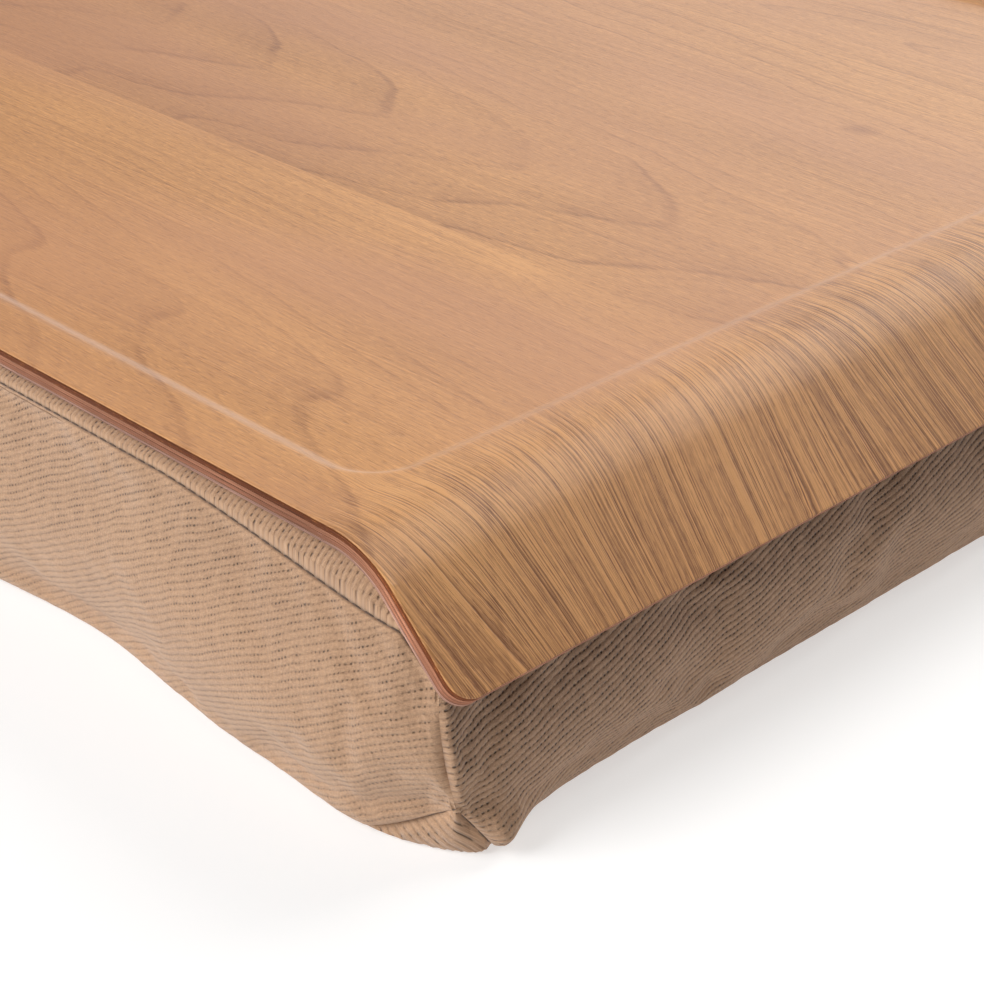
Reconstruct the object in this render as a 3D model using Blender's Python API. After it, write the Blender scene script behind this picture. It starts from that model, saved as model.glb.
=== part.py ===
"""Lap desk: a formed plywood tray held by hook and loop strips on a bead filled twill cushion.

+X runs along the tray's length, +Y points to the back, where the cushion's zip is, and +Z is up.
The origin is on the floor, under the middle of the desk. Lengths are in metres.
"""
import math

import bmesh
import bpy
import numpy as np
from mathutils import Vector

# Tray: one sheet of five bonded plies, its two short ends bent down, its middle pressed in.
TRAY_LENGTH = 0.460
TRAY_WIDTH = 0.365
FACE_VENEER = 0.0006
INNER_PLY = 0.0009
BACK_VENEER = 0.0006
GLUE_LINE = 0.0001
BEND_RADIUS = 0.024
BEND_ANGLE = math.radians(43.5)
SLOPE_RUN = 0.0237
TIP_CORNER = 0.005
RECESS_DEPTH = 0.0018
RECESS_STEP = 0.0045
RECESS_SIDE_BORDER = 0.0142
RECESS_TO_BEND = 0.006
RECESS_CORNER = 0.0145
STEP_INSET_SHARES = (0.0, 0.3, 0.7, 1.0)
STEP_DROP_SHARES = (0.0, 0.2, 0.8, 1.0)

# Whole object and the gap kept between pieces that touch.
TOTAL_HEIGHT = 0.064
TOUCH_GAP = 0.0003

# Hook strips glued under the tray and loop strips sewn to the cushion.
STRIP_LENGTH = 0.090
STRIP_WIDTH = 0.024
STRIP_THICKNESS = 0.0012
STRIP_CORNER = 0.003
STRIP_FROM_END = 0.125
STRIP_FROM_SIDE = 0.0525
STRIP_DIP_EASE = 0.010

# Cushion cover: six faces of twill, sewn along their edges, the back one in two bands.
CUSHION_END_INSET = 0.0075
CUSHION_SIDE_OUT = 0.0005
CLOTH = 0.0008
SEAM_GAP = 0.0004
SEAM_DROP = 0.0035
SEAM_UNDER_BEND = 0.0022
CORNER_SAG = 0.0067
CORNER_SAG_LENGTH = 0.065
CORNER_SAG_END = 0.0125
CROWN_ROLL = 0.011
FRONT_BULGE = 0.006
END_BULGE = 0.003
TOE_OUT = 0.0015
WAIST_DEPTH = 0.0042
WAIST_FROM_END = 0.1055
WAIST_SPREAD = 0.034
BOTTOM_SEAM_HEIGHT = 0.007
CORNER_LIFT = 0.0065
CORNER_LIFT_SPREAD = 0.020
BOTTOM_ROLL = 0.012
FLAT_CUT = 0.0005
EAR = 0.003
EAR_SPREAD = 0.025
BULGE_LOW_POWER = 1.36
CORNER_POWER = 14

# Inner bag of two sheets, sewn round the rim, and the bead fill inside it.
BAG_CLOTH = 0.0004
BAG_SIDE_ROOM = 0.005
BAG_POWER = 8

# Zip in the back of the cover.
ZIP_LENGTH = 0.300
TEETH_ROOM = 0.0008
ZIP_CLOSE_RUN = 0.010
TAPE_THICKNESS = 0.0005
TAPE_WIDTH = 0.008
TAPE_OVERRUN = 0.005
COIL_WIDTH = 0.0016
COIL_THICKNESS = 0.0012
COIL_SPACE = 0.0012
STOP_LENGTH = 0.002
SLIDER_LENGTH = 0.011
WING_OVERHANG = 0.00155
WING = 0.0008
POST_LENGTH = 0.003
BRIDGE_LENGTH = 0.006
BRIDGE_WIDTH = 0.0016
PULL_LENGTH = 0.024
EYE_ROOM = 0.0009
PULL_THICKNESS = 0.001
PULL_RIM = 0.0014

# Sizes that follow from the ones above.
TRAY_THICKNESS = FACE_VENEER + 3 * INNER_PLY + BACK_VENEER + 4 * GLUE_LINE
FLAT_HALF = TRAY_LENGTH / 2 - BEND_RADIUS * math.sin(BEND_ANGLE) - SLOPE_RUN * math.cos(BEND_ANGLE)
BEND_RUN = BEND_RADIUS * BEND_ANGLE
SHEET_HALF = FLAT_HALF + BEND_RUN + SLOPE_RUN
WIDTH_HALF = TRAY_WIDTH / 2
RECESS_HALF_X = FLAT_HALF - RECESS_TO_BEND
RECESS_HALF_Y = WIDTH_HALF - RECESS_SIDE_BORDER
INNER_BEND = BEND_RADIUS - TRAY_THICKNESS
UNDERSIDE = TOTAL_HEIGHT - TRAY_THICKNESS
RECESS_UNDERSIDE = UNDERSIDE - RECESS_DEPTH
HALF_X = TRAY_LENGTH / 2 - CUSHION_END_INSET
HALF_Y = WIDTH_HALF + CUSHION_SIDE_OUT
WAIST_PLACE = HALF_X - WAIST_FROM_END
STRIP_OUT_X = TRAY_LENGTH / 2 - STRIP_FROM_END
STRIP_OUT_Y = WIDTH_HALF - STRIP_FROM_SIDE
LOOP_SEAT = RECESS_UNDERSIDE - GLUE_LINE - 2 * STRIP_THICKNESS - 2 * TOUCH_GAP
SAG_START = HALF_X - CORNER_SAG_END - CORNER_SAG_LENGTH
BRIDGE_WINDOW = PULL_THICKNESS + 2 * TOUCH_GAP
CHAIN_WIDTH = COIL_SPACE + 2 * COIL_WIDTH
ZIP_OPENING = CHAIN_WIDTH + 2 * TEETH_ROOM
SLIDER_WIDTH = CHAIN_WIDTH + 2 * WING_OVERHANG
POST_WIDTH = COIL_SPACE - 2 * TOUCH_GAP
PULL_WIDTH = BRIDGE_WIDTH + 2 * EYE_ROOM + 2 * PULL_RIM


def smooth_step(value):
    """0 below 0, 1 above 1, and an S curve between them."""
    held = np.clip(value, 0, 1)
    return held * held * (3 - 2 * held)


def finish(name, colour, roughness, metallic=0.0):
    """A plain material of one colour."""
    material = bpy.data.materials.new(name)
    material.use_nodes = True
    shader = material.node_tree.nodes["Principled BSDF"]
    shader.inputs["Base Color"].default_value = (*colour, 1.0)
    shader.inputs["Roughness"].default_value = roughness
    shader.inputs["Metallic"].default_value = metallic
    material.diffuse_color = (*colour, 1.0)
    return material


def add_object(name, mesh, material, parent=None, location=(0, 0, 0)):
    """Links a mesh as a named object and shades its round parts smooth."""
    mesh.shade_smooth()
    mesh.set_sharp_from_angle(angle=math.radians(40))
    mesh.materials.append(material)
    thing = bpy.data.objects.new(name, mesh)
    bpy.context.scene.collection.objects.link(thing)
    thing.parent = parent
    thing.location = location
    return thing


def add_empty(name, location=(0, 0, 0)):
    """A point that carries the pieces of one moving body."""
    empty = bpy.data.objects.new(name, None)
    bpy.context.scene.collection.objects.link(empty)
    empty.location = location
    return empty


def mesh_of(name, points, faces):
    """A mesh from points and faces whose outward side is already right."""
    mesh = bpy.data.meshes.new(name)
    mesh.from_pydata([tuple(point) for point in points], [], faces)
    mesh.validate()
    return mesh


def halved(faces):
    """Faces with each quad cut along its first diagonal, so that like surfaces fold alike."""
    cut = []
    for face in faces:
        if len(face) == 4:
            cut += [[face[0], face[1], face[2]], [face[0], face[2], face[3]]]
        else:
            cut.append(face)
    return cut


def closed_between(outer, inner, faces, rim):
    """Points and faces of the solid between two like surfaces, walled along the rim's edges."""
    count = len(outer)
    faces = halved(faces)
    points = [*outer, *inner]
    sides = [*faces, *([i + count for i in reversed(face)] for face in faces)]
    for here, after in rim:
        sides.append([after, here, here + count, after + count])
    return points, sides


def loop_edges(loop):
    """The edges of a closed loop of point numbers."""
    return list(zip(loop, loop[1:] + loop[:1]))


def grid_faces(rows, columns):
    """Quads and rim edges of a grid whose points are numbered row by row."""
    number = np.arange(rows * columns).reshape(rows, columns)
    corners = [number[:-1, :-1], number[1:, :-1], number[1:, 1:], number[:-1, 1:]]
    faces = np.stack(corners, axis=-1).reshape(-1, 4).tolist()
    sides = [number[:-1, 0], number[-1, :-1], number[:0:-1, -1], number[0, :0:-1]]
    return faces, loop_edges(np.concatenate(sides).tolist())


def upright(x, y, level):
    """Keeps an outline drawn in X and Y, with a level along Z, as it is."""
    return (x, y, level)


def facing_back(x, z, level):
    """Stands an outline drawn in X and Z up, with its level along Y."""
    return (x, level, z)


def prism(outline, low, high, place=upright):
    """A closed solid: an anticlockwise outline drawn at two levels, each point put by place."""
    upper = [place(u, v, high) for u, v in outline]
    lower = [place(u, v, low) for u, v in outline]
    loop = list(range(len(outline)))
    return closed_between(upper, lower, [loop], loop_edges(loop))


# Tray

def sheet_point(along, across, depth, drop=0.0):
    """A point of the bent sheet: along it from the middle, across it, and down into its thickness."""
    side = math.copysign(1.0, along)
    run = abs(along)
    if run <= FLAT_HALF:
        return (along, across, TOTAL_HEIGHT - depth - drop)
    turn = min((run - FLAT_HALF) / BEND_RADIUS, BEND_ANGLE)
    slope = max(run - FLAT_HALF - BEND_RUN, 0.0)
    x = FLAT_HALF + (BEND_RADIUS - depth) * math.sin(turn) + slope * math.cos(BEND_ANGLE)
    z = TOTAL_HEIGHT - BEND_RADIUS + (BEND_RADIUS - depth) * math.cos(turn) - slope * math.sin(BEND_ANGLE)
    return (side * x, across, z)


def rounded_ring(half_x, half_y, radius, steps):
    """Corner arcs of a rounded rectangle, anticlockwise from the +X +Y corner, as four lists."""
    corners = []
    for quarter, (sign_x, sign_y) in enumerate(((1, 1), (-1, 1), (-1, -1), (1, -1))):
        arc = []
        for step in range(steps + 1):
            angle = (quarter + step / steps) * math.pi / 2
            x = sign_x * (half_x - radius) + radius * math.cos(angle)
            y = sign_y * (half_y - radius) + radius * math.sin(angle)
            arc.append((x, y))
        corners.append(arc)
    return corners


def end_rows(bend_steps, corner_steps):
    """Stations along the sheet past the bend's start, each with its half width."""
    rows = []
    for step in range(1, bend_steps + 1):
        rows.append((FLAT_HALF + BEND_RUN * step / bend_steps, WIDTH_HALF))
    for step in range(corner_steps + 1):
        angle = math.pi / 2 * step / corner_steps
        along = SHEET_HALF - TIP_CORNER + TIP_CORNER * math.sin(angle)
        rows.append((along, WIDTH_HALF - TIP_CORNER + TIP_CORNER * math.cos(angle)))
    return rows


def sheet_surface(depth, bend_steps=8, corner_steps=5):
    """One face of a ply at a depth in the sheet: points, faces that point up, and the rim loop."""
    points = []
    faces = []

    def add(along, across, drop=0.0):
        points.append(sheet_point(along, across, depth, drop))
        return len(points) - 1

    corners = [add(sx * FLAT_HALF, sy * WIDTH_HALF) for sx, sy in ((1, 1), (-1, 1), (-1, -1), (1, -1))]
    rings = []
    for inset_share, drop_share in zip(STEP_INSET_SHARES, STEP_DROP_SHARES):
        inset = RECESS_STEP * inset_share
        arcs = rounded_ring(RECESS_HALF_X - inset, RECESS_HALF_Y - inset, RECESS_CORNER - inset, 6)
        rings.append([[add(x, y, RECESS_DEPTH * drop_share) for x, y in arc] for arc in arcs])
    first = rings[0]
    for k in range(4):
        after = (k + 1) % 4
        for here, there in zip(first[k], first[k][1:]):
            faces.append([corners[k], there, here])
        faces.append([corners[k], corners[after], first[after][0], first[k][-1]])
    loops = [[i for arc in ring for i in arc] for ring in rings]
    for outer, inner in zip(loops, loops[1:]):
        for n in range(len(outer)):
            m = (n + 1) % len(outer)
            faces.append([outer[n], outer[m], inner[m], inner[n]])
    faces.append(loops[-1])

    rim = [corners[2], corners[3]]
    for side, (near, far) in ((1, (corners[3], corners[0])), (-1, (corners[1], corners[2]))):
        low, high = [near], [far]
        for along, half in end_rows(bend_steps, corner_steps):
            low.append(add(side * along, -side * half))
            high.append(add(side * along, side * half))
        for n in range(len(low) - 1):
            faces.append([low[n], low[n + 1], high[n + 1], high[n]])
        rim += low[1:] + high[:0:-1]
        if side == 1:
            rim += [corners[0], corners[1]]
    return points, faces, loop_edges(rim)


def build_ply(name, top, thickness, material, parent):
    """One veneer of the tray, whose upper face lies at a depth in the sheet."""
    outer, faces, rim = sheet_surface(top)
    inner = sheet_surface(top + thickness)[0]
    add_object(name, mesh_of(name, *closed_between(outer, inner, faces, rim)), material, parent)


def build_tray(finishes, parent):
    """The five bonded plies, from the face veneer down."""
    plies = (
        ("tray_face_veneer", FACE_VENEER, "veneer"),
        ("tray_upper_crossply", INNER_PLY, "crossply"),
        ("tray_core_ply", INNER_PLY, "coreply"),
        ("tray_lower_crossply", INNER_PLY, "crossply"),
        ("tray_back_veneer", BACK_VENEER, "backveneer"),
    )
    depth = 0.0
    for name, thickness, slot in plies:
        build_ply(name, depth, thickness, finishes[slot], parent)
        depth += thickness + GLUE_LINE


def build_strips(finishes, tray, cushion):
    """Four pairs of strips: hooks glued under the tray, loops sewn to the cushion's top."""
    arcs = rounded_ring(STRIP_LENGTH / 2, STRIP_WIDTH / 2, STRIP_CORNER, 3)
    outline = [point for arc in arcs for point in arc]
    hook_top = RECESS_UNDERSIDE - GLUE_LINE
    levels = (
        ("hook_strip", hook_top, "hooks", tray),
        ("loop_strip", hook_top - STRIP_THICKNESS - TOUCH_GAP, "loops", cushion),
    )
    for kind, top, slot, parent in levels:
        for depth_word, sign_y in (("front", -1), ("back", 1)):
            for side_word, sign_x in (("left", -1), ("right", 1)):
                placed = [(sign_x * STRIP_OUT_X + u, sign_y * STRIP_OUT_Y + v) for u, v in outline]
                name = f"{kind}_{depth_word}_{side_word}"
                mesh = mesh_of(name, *prism(placed, top - STRIP_THICKNESS, top))
                add_object(name, mesh, finishes[slot], parent)


# Cushion cover

def tray_underside(x):
    """Height of the tray's underside, past the recess, at each distance from the middle."""
    out = np.abs(x) - FLAT_HALF
    turn = np.arcsin(np.clip(out / INNER_BEND, 0, math.sin(BEND_ANGLE)))
    slope = np.clip(out - INNER_BEND * math.sin(BEND_ANGLE), 0, None) * math.tan(BEND_ANGLE)
    return UNDERSIDE - INNER_BEND * (1 - np.cos(turn)) - slope


def recess_share(x, y):
    """1 under the tray's recess, 0 under its border, with the change just outside the recess."""
    in_x = RECESS_HALF_X + RECESS_STEP - np.abs(x)
    in_y = RECESS_HALF_Y + RECESS_STEP - np.abs(y)
    return smooth_step(np.minimum(in_x, in_y) / RECESS_STEP)


def strip_dip(x, y):
    """1 under the loop strips, easing to 0 around them."""
    past_x = np.abs(np.abs(x) - STRIP_OUT_X) - STRIP_LENGTH / 2
    past_y = np.abs(np.abs(y) - STRIP_OUT_Y) - STRIP_WIDTH / 2
    return 1 - smooth_step(np.maximum(past_x, past_y) / STRIP_DIP_EASE)


def roll(inset, width):
    """1 at an edge, 0 from a width inside it, as a quarter of an ellipse."""
    outward = np.clip(1 - inset / width, 0, 1)
    return 1 - np.sqrt(1 - outward ** 2)


def top_seam_height(x):
    """Height of the seam between the top panel and the front or back one."""
    sag = CORNER_SAG * np.clip((np.abs(x) - SAG_START) / CORNER_SAG_LENGTH, 0, None) ** 1.3
    flat = UNDERSIDE - TOUCH_GAP - SEAM_DROP - sag
    return np.minimum(flat, tray_underside(x) - TOUCH_GAP - SEAM_UNDER_BEND)


def top_height(x, y):
    """Height of the cushion's top: pressed to the tray, dipped at the strips, rolled off at the edges."""
    crown = tray_underside(x) - TOUCH_GAP
    pressed = crown - RECESS_DEPTH * recess_share(x, y)
    dipped = pressed + (LOOP_SEAT - pressed) * strip_dip(x, y)
    side_drop = (crown - top_seam_height(x)) * roll(HALF_Y - np.abs(y), CROWN_ROLL)
    end_drop = SEAM_UNDER_BEND * roll(HALF_X - np.abs(x), CROWN_ROLL)
    return dipped - np.maximum(side_drop, end_drop)


def corner_nearness(x, y, spread):
    """1 at a corner of the cushion, fading with distance from it."""
    away = np.hypot(HALF_X - np.abs(x), HALF_Y - np.abs(y))
    return np.exp(-(away / spread) ** 2)


def bottom_seam_height(x, y):
    """Height of the seam round the bottom panel, lifted at the corners."""
    return BOTTOM_SEAM_HEIGHT + CORNER_LIFT * corner_nearness(x, y, CORNER_LIFT_SPREAD)


def corner_fade(place, half):
    """1 along most of a side, 0 at its corners."""
    return np.sqrt(np.clip(1 - (np.abs(place) / half) ** CORNER_POWER, 0, 1))


def waist(x):
    """How far the front is drawn in, deepest between its middle and its corners."""
    drawn = np.exp(-((np.abs(x) - WAIST_PLACE) / WAIST_SPREAD) ** 2)
    return WAIST_DEPTH * drawn * corner_fade(x, HALF_X)


def front_out(x, t):
    """How far the front panel stands out from the straight seam line, t from its top to its bottom."""
    bulge = FRONT_BULGE * corner_fade(x, HALF_X) * np.sin(math.pi * t ** BULGE_LOW_POWER)
    return bulge + TOE_OUT * t - waist(x) * t


def end_out(y, t):
    """How far an end panel stands out from the straight seam line."""
    return END_BULGE * corner_fade(y, HALF_Y) * np.sin(math.pi * t ** BULGE_LOW_POWER) + TOE_OUT * t


FRONT_REACH = float(np.max(front_out(np.array([0.0]), np.linspace(0, 1, 101)))) + HALF_Y
ZIP_OUT = COIL_THICKNESS - CLOTH + TOUCH_GAP + WING + BRIDGE_WINDOW + WING
ZIP_FACE = FRONT_REACH - ZIP_OUT
BACK_BULGE = ZIP_FACE - HALF_Y - TOE_OUT / 2
SIDE_TOP = UNDERSIDE - TOUCH_GAP - SEAM_DROP
ZIP_HEIGHT = (SIDE_TOP + BOTTOM_SEAM_HEIGHT) / 2


def back_out(x, t):
    """How far the back panel stands out; it has no waist, so that the zip runs straight."""
    return BACK_BULGE * corner_fade(x, HALF_X) * np.sin(math.pi * t) + TOE_OUT * t


def mirrored(half_stations):
    """Stations on both sides of 0 from those on one side, sorted, near twins left out."""
    half = [0.0]
    for station in sorted(half_stations):
        if station - half[-1] > CLOTH:
            half.append(station)
    return np.array([-station for station in half[:0:-1]] + half)


def cover_stations():
    """Grid lines of the cover along X and Y, denser where the surface turns."""
    dip_near = STRIP_OUT_X - STRIP_LENGTH / 2
    dip_far = STRIP_OUT_X + STRIP_LENGTH / 2
    bend_end = FLAT_HALF + INNER_BEND * math.sin(BEND_ANGLE)
    xs = [
        dip_near - STRIP_DIP_EASE, dip_near, WAIST_PLACE, dip_far, dip_far + STRIP_DIP_EASE,
        ZIP_LENGTH / 2, ZIP_LENGTH / 2 + ZIP_CLOSE_RUN,
        (dip_far + RECESS_HALF_X) / 2, RECESS_HALF_X, RECESS_HALF_X + RECESS_STEP,
        FLAT_HALF + INNER_BEND / 3, bend_end, (bend_end + HALF_X) / 2, HALF_X - CROWN_ROLL / 6, HALF_X,
    ]
    dip_in = STRIP_OUT_Y - STRIP_WIDTH / 2
    dip_out = STRIP_OUT_Y + STRIP_WIDTH / 2
    step_out = RECESS_HALF_Y + RECESS_STEP
    ys = [
        dip_in / 2, dip_in - STRIP_DIP_EASE, dip_in, dip_out, dip_out + STRIP_DIP_EASE,
        RECESS_HALF_Y, step_out, (step_out + HALF_Y) / 2, HALF_Y - CROWN_ROLL / 6, HALF_Y,
    ]
    return mirrored(xs), mirrored(ys)


def grid(us, vs):
    """Two arrays that hold every pair of a station along u and one along v."""
    return np.meshgrid(us, vs, indexing="ij")


def top_patch(xs, ys):
    """The top panel's outer surface."""
    x, y = grid(xs, ys)
    return np.stack([x, y, top_height(x, y)], axis=-1)


def bottom_patch(xs, ys):
    """The bottom panel's outer surface: rolled under from its seam, flat on the floor, eared at corners."""
    x, y = grid(xs, -ys)
    inset = np.minimum(HALF_X - np.abs(x), HALF_Y - np.abs(y))
    seam = bottom_seam_height(x, y)
    height = (seam + FLAT_CUT) * roll(inset, BOTTOM_ROLL) - FLAT_CUT
    at_edge = roll(inset, BOTTOM_ROLL)
    front_edge = np.where(y < 0, -1.0, 0.0) * (TOE_OUT - waist(x))
    back_edge = np.where(y > 0, 1.0, 0.0) * TOE_OUT
    ear = EAR * corner_nearness(x, y, EAR_SPREAD) * 4 * at_edge * (1 - at_edge)
    side_share = (np.abs(y) / HALF_Y) ** CORNER_POWER
    end_share = (np.abs(x) / HALF_X) ** CORNER_POWER
    out_x = x + np.sign(x) * (TOE_OUT * end_share + ear)
    out_y = y + (front_edge + back_edge) * side_share + np.sign(y) * ear
    return np.stack([out_x, out_y, np.maximum(height, 0.0)], axis=-1)


def wall_rows(high, low, rows=4):
    """Heights of a side's rows: evenly from its top seam to the zip's level, then to its bottom seam."""
    share = np.linspace(0, 1, rows)
    upper = high[:, None] + (ZIP_HEIGHT - high)[:, None] * share[None, :]
    lower = ZIP_HEIGHT + (low - ZIP_HEIGHT)[:, None] * share[None, 1:]
    return np.concatenate([upper, lower], axis=1)


def wall_patch(places, heights, high, low, out, along_x, sign):
    """A side's outer surface at rows of given heights, standing out by a function of place and drop."""
    half_along, half_across = (HALF_X, HALF_Y) if along_x else (HALF_Y, HALF_X)
    drop = (high[:, None] - heights) / (high - low)[:, None]
    place = np.repeat(places[:, None], heights.shape[1], axis=1)
    lean = np.sign(place) * (np.abs(place) / half_along) ** CORNER_POWER * TOE_OUT * drop
    stand = sign * (half_across + out(place, drop))
    if along_x:
        return np.stack([place + lean, stand, heights], axis=-1)
    return np.stack([stand, place + lean, heights], axis=-1)


def front_patch(xs):
    """The front panel's outer surface."""
    high, low = top_seam_height(xs), bottom_seam_height(xs, HALF_Y)
    return wall_patch(xs, wall_rows(high, low), high, low, front_out, True, -1)


def end_patch(ys, sign):
    """The right (+1) or left (-1) end panel's outer surface."""
    high = np.full_like(ys, top_seam_height(HALF_X))
    low = bottom_seam_height(HALF_X, ys)
    return wall_patch(ys, wall_rows(high, low), high, low, end_out, False, sign)


def back_patches(xs, rows=4):
    """The back's upper band, the zip's opening and the lower band, as three surfaces."""
    open_share = 1 - smooth_step((np.abs(xs) - ZIP_LENGTH / 2) / ZIP_CLOSE_RUN)
    half_open = ZIP_OPENING / 2 * open_share
    high, low = top_seam_height(xs), bottom_seam_height(xs, HALF_Y)
    edges = (high, ZIP_HEIGHT + half_open, ZIP_HEIGHT - half_open, low)
    patches = []
    for upper, lower, count in zip(edges, edges[1:], (rows, 2, rows)):
        share = np.linspace(0, 1, count)
        heights = upper[:, None] + (lower - upper)[:, None] * share[None, :]
        patches.append(wall_patch(xs, heights, high, low, back_out, True, 1))
    return patches


def add_patch(shell, patch, tag, tags, flip=False):
    """Adds a grid of quads to the closed shell, each face tagged with its panel."""
    rows, columns = patch.shape[:2]
    verts = [[shell.verts.new(point) for point in line] for line in patch]
    for i in range(rows - 1):
        for j in range(columns - 1):
            corner = [verts[i][j], verts[i + 1][j], verts[i + 1][j + 1], verts[i][j + 1]]
            face = shell.faces.new(reversed(corner) if flip else corner)
            face[tags] = tag


PANELS = (
    ("cover_top_panel", "twill"),
    ("cover_bottom_panel", "twill"),
    ("cover_front_panel", "twill"),
    ("cover_left_panel", "twill"),
    ("cover_right_panel", "twill"),
    ("cover_back_upper_band", "twill"),
    ("cover_back_lower_band", "twill"),
)


def cover_shell():
    """The cover's closed outer surface, each face tagged with its panel's number in PANELS."""
    xs, ys = cover_stations()
    shell = bmesh.new()
    tags = shell.faces.layers.int.new("panel")
    upper, opening, lower = back_patches(xs)
    add_patch(shell, top_patch(xs, ys), 0, tags)
    add_patch(shell, bottom_patch(xs, ys), 1, tags)
    add_patch(shell, front_patch(xs), 2, tags, flip=True)
    add_patch(shell, end_patch(ys, -1), 3, tags)
    add_patch(shell, end_patch(ys, 1), 4, tags, flip=True)
    add_patch(shell, upper, 5, tags)
    add_patch(shell, lower, 6, tags)
    add_patch(shell, opening, len(PANELS), tags)
    bmesh.ops.remove_doubles(shell, verts=shell.verts, dist=CLOTH / 1000)
    shell.normal_update()
    return shell, tags


def seam_pulls(rim):
    """How far each rim point of a panel draws back from its seam, half of the seam's gap."""
    perpendiculars = {}
    for face, start, end in rim:
        across = face.normal.cross(end.co - start.co).normalized()
        for vert in (start, end):
            perpendiculars.setdefault(vert, []).append(across)
    pulls = {}
    for vert, found in perpendiculars.items():
        total = sum(found, Vector())
        pulls[vert] = total * (SEAM_GAP / 2) / (total.length_squared / len(found))
    return pulls


def panel_solid(faces):
    """A panel of cloth: its outer surface, its inner one a cloth thickness in, and its cut edges."""
    members = set(faces)
    rim = []
    for face in faces:
        for loop in face.loops:
            if not any(other in members for other in loop.edge.link_faces if other is not face):
                rim.append((face, loop.vert, loop.link_loop_next.vert))
    pulls = seam_pulls(rim)
    verts = list(dict.fromkeys(vert for face in faces for vert in face.verts))
    number = {vert: i for i, vert in enumerate(verts)}
    outer, inner = [], []
    for vert in verts:
        seat = vert.co + pulls.get(vert, Vector())
        outer.append(seat)
        inner.append(seat - vert.normal * CLOTH * vert.calc_shell_factor())
    numbered = [[number[vert] for vert in face.verts] for face in faces]
    return closed_between(outer, inner, numbered, [(number[a], number[b]) for _, a, b in rim])


def build_cover(finishes, parent):
    """The seven cloth panels of the cushion's cover."""
    shell, tags = cover_shell()
    for panel, (name, slot) in enumerate(PANELS):
        faces = [face for face in shell.faces if face[tags] == panel]
        add_object(name, mesh_of(name, *panel_solid(faces)), finishes[slot], parent)
    shell.free()


# Bag and fill

BAG_TOP = LOOP_SEAT - CLOTH - TOUCH_GAP
BAG_BOTTOM = CLOTH + TOUCH_GAP


PILLOW_COLUMNS = 13
PILLOW_ROWS = 11


def pillow(inset, upper):
    """Points of one half of a pillow, its top or its bottom, drawn in by an inset all round."""
    u = np.sin(np.linspace(-1, 1, PILLOW_COLUMNS) * math.pi / 2)
    v = np.sin(np.linspace(-1, 1, PILLOW_ROWS) * math.pi / 2)
    across, along = np.meshgrid(v, u)
    swell = np.sqrt((1 - np.abs(along) ** BAG_POWER) * (1 - np.abs(across) ** BAG_POWER))
    tall = BAG_TOP - inset - ZIP_HEIGHT if upper else BAG_BOTTOM + inset - ZIP_HEIGHT
    half_gap = TOUCH_GAP / 2 if upper else -TOUCH_GAP / 2
    room = BAG_SIDE_ROOM + inset
    height = ZIP_HEIGHT + half_gap + tall * swell
    points = np.stack([along * (HALF_X - room), across * (HALF_Y - room), height], axis=-1)
    return points.reshape(-1, 3)


def build_inner_pad(finishes, parent):
    """The bag's two sheets, sewn together at the rim, and the beads that fill it."""
    faces, rim = grid_faces(PILLOW_COLUMNS, PILLOW_ROWS)
    within = BAG_CLOTH + TOUCH_GAP
    layers = (
        ("bag_top_sheet", "bag", (0.0, True), (BAG_CLOTH, True)),
        ("bag_bottom_sheet", "bag", (BAG_CLOTH, False), (0.0, False)),
        ("bead_fill", "beads", (within, True), (within, False)),
    )
    for name, slot, upper, lower in layers:
        solid = closed_between(pillow(*upper), pillow(*lower), faces, rim)
        add_object(name, mesh_of(name, *solid), finishes[slot], parent)


# Zip

COIL_HALF = ZIP_LENGTH / 2 - STOP_LENGTH - TOUCH_GAP
COIL_FACE = ZIP_FACE - CLOTH + COIL_THICKNESS
TAPE_FACE = ZIP_FACE - CLOTH - TOUCH_GAP
UPPER_WING = COIL_FACE + TOUCH_GAP
LOWER_WING = TAPE_FACE - TAPE_THICKNESS - TOUCH_GAP
PULL_AXIS = UPPER_WING + WING + BRIDGE_WINDOW / 2
SLIDER_REST = -COIL_HALF + SLIDER_LENGTH / 2
EYE_REACH = math.hypot(BRIDGE_LENGTH / 2, BRIDGE_WINDOW / 2 + WING) + TOUCH_GAP


def box(low, high):
    """A closed box between two corners."""
    outline = [(low[0], low[1]), (high[0], low[1]), (high[0], high[1]), (low[0], high[1])]
    return prism(outline, low[2], high[2])


def back_face(z):
    """The back's outer surface beside the zip, at a height."""
    drop = (SIDE_TOP - z) / (SIDE_TOP - BOTTOM_SEAM_HEIGHT)
    return HALF_Y + float(back_out(0.0, drop))


def build_tape(name, sign, material, parent):
    """A tape behind one band's edge: a strip that follows the back, its edge beside the teeth."""
    half = ZIP_LENGTH / 2 + TAPE_OVERRUN
    outer, inner = [], []
    for x in (-half, half):
        for away in np.linspace(COIL_SPACE / 2 + GLUE_LINE, TAPE_WIDTH, 5):
            z = ZIP_HEIGHT + sign * away
            face = back_face(z) - CLOTH - TOUCH_GAP
            outer.append((x, face, z))
            inner.append((x, face - TAPE_THICKNESS, z))
    faces, rim = grid_faces(2, 5)
    if sign > 0:
        outer, inner = inner, outer
    add_object(name, mesh_of(name, *closed_between(outer, inner, faces, rim)), material, parent)


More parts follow.
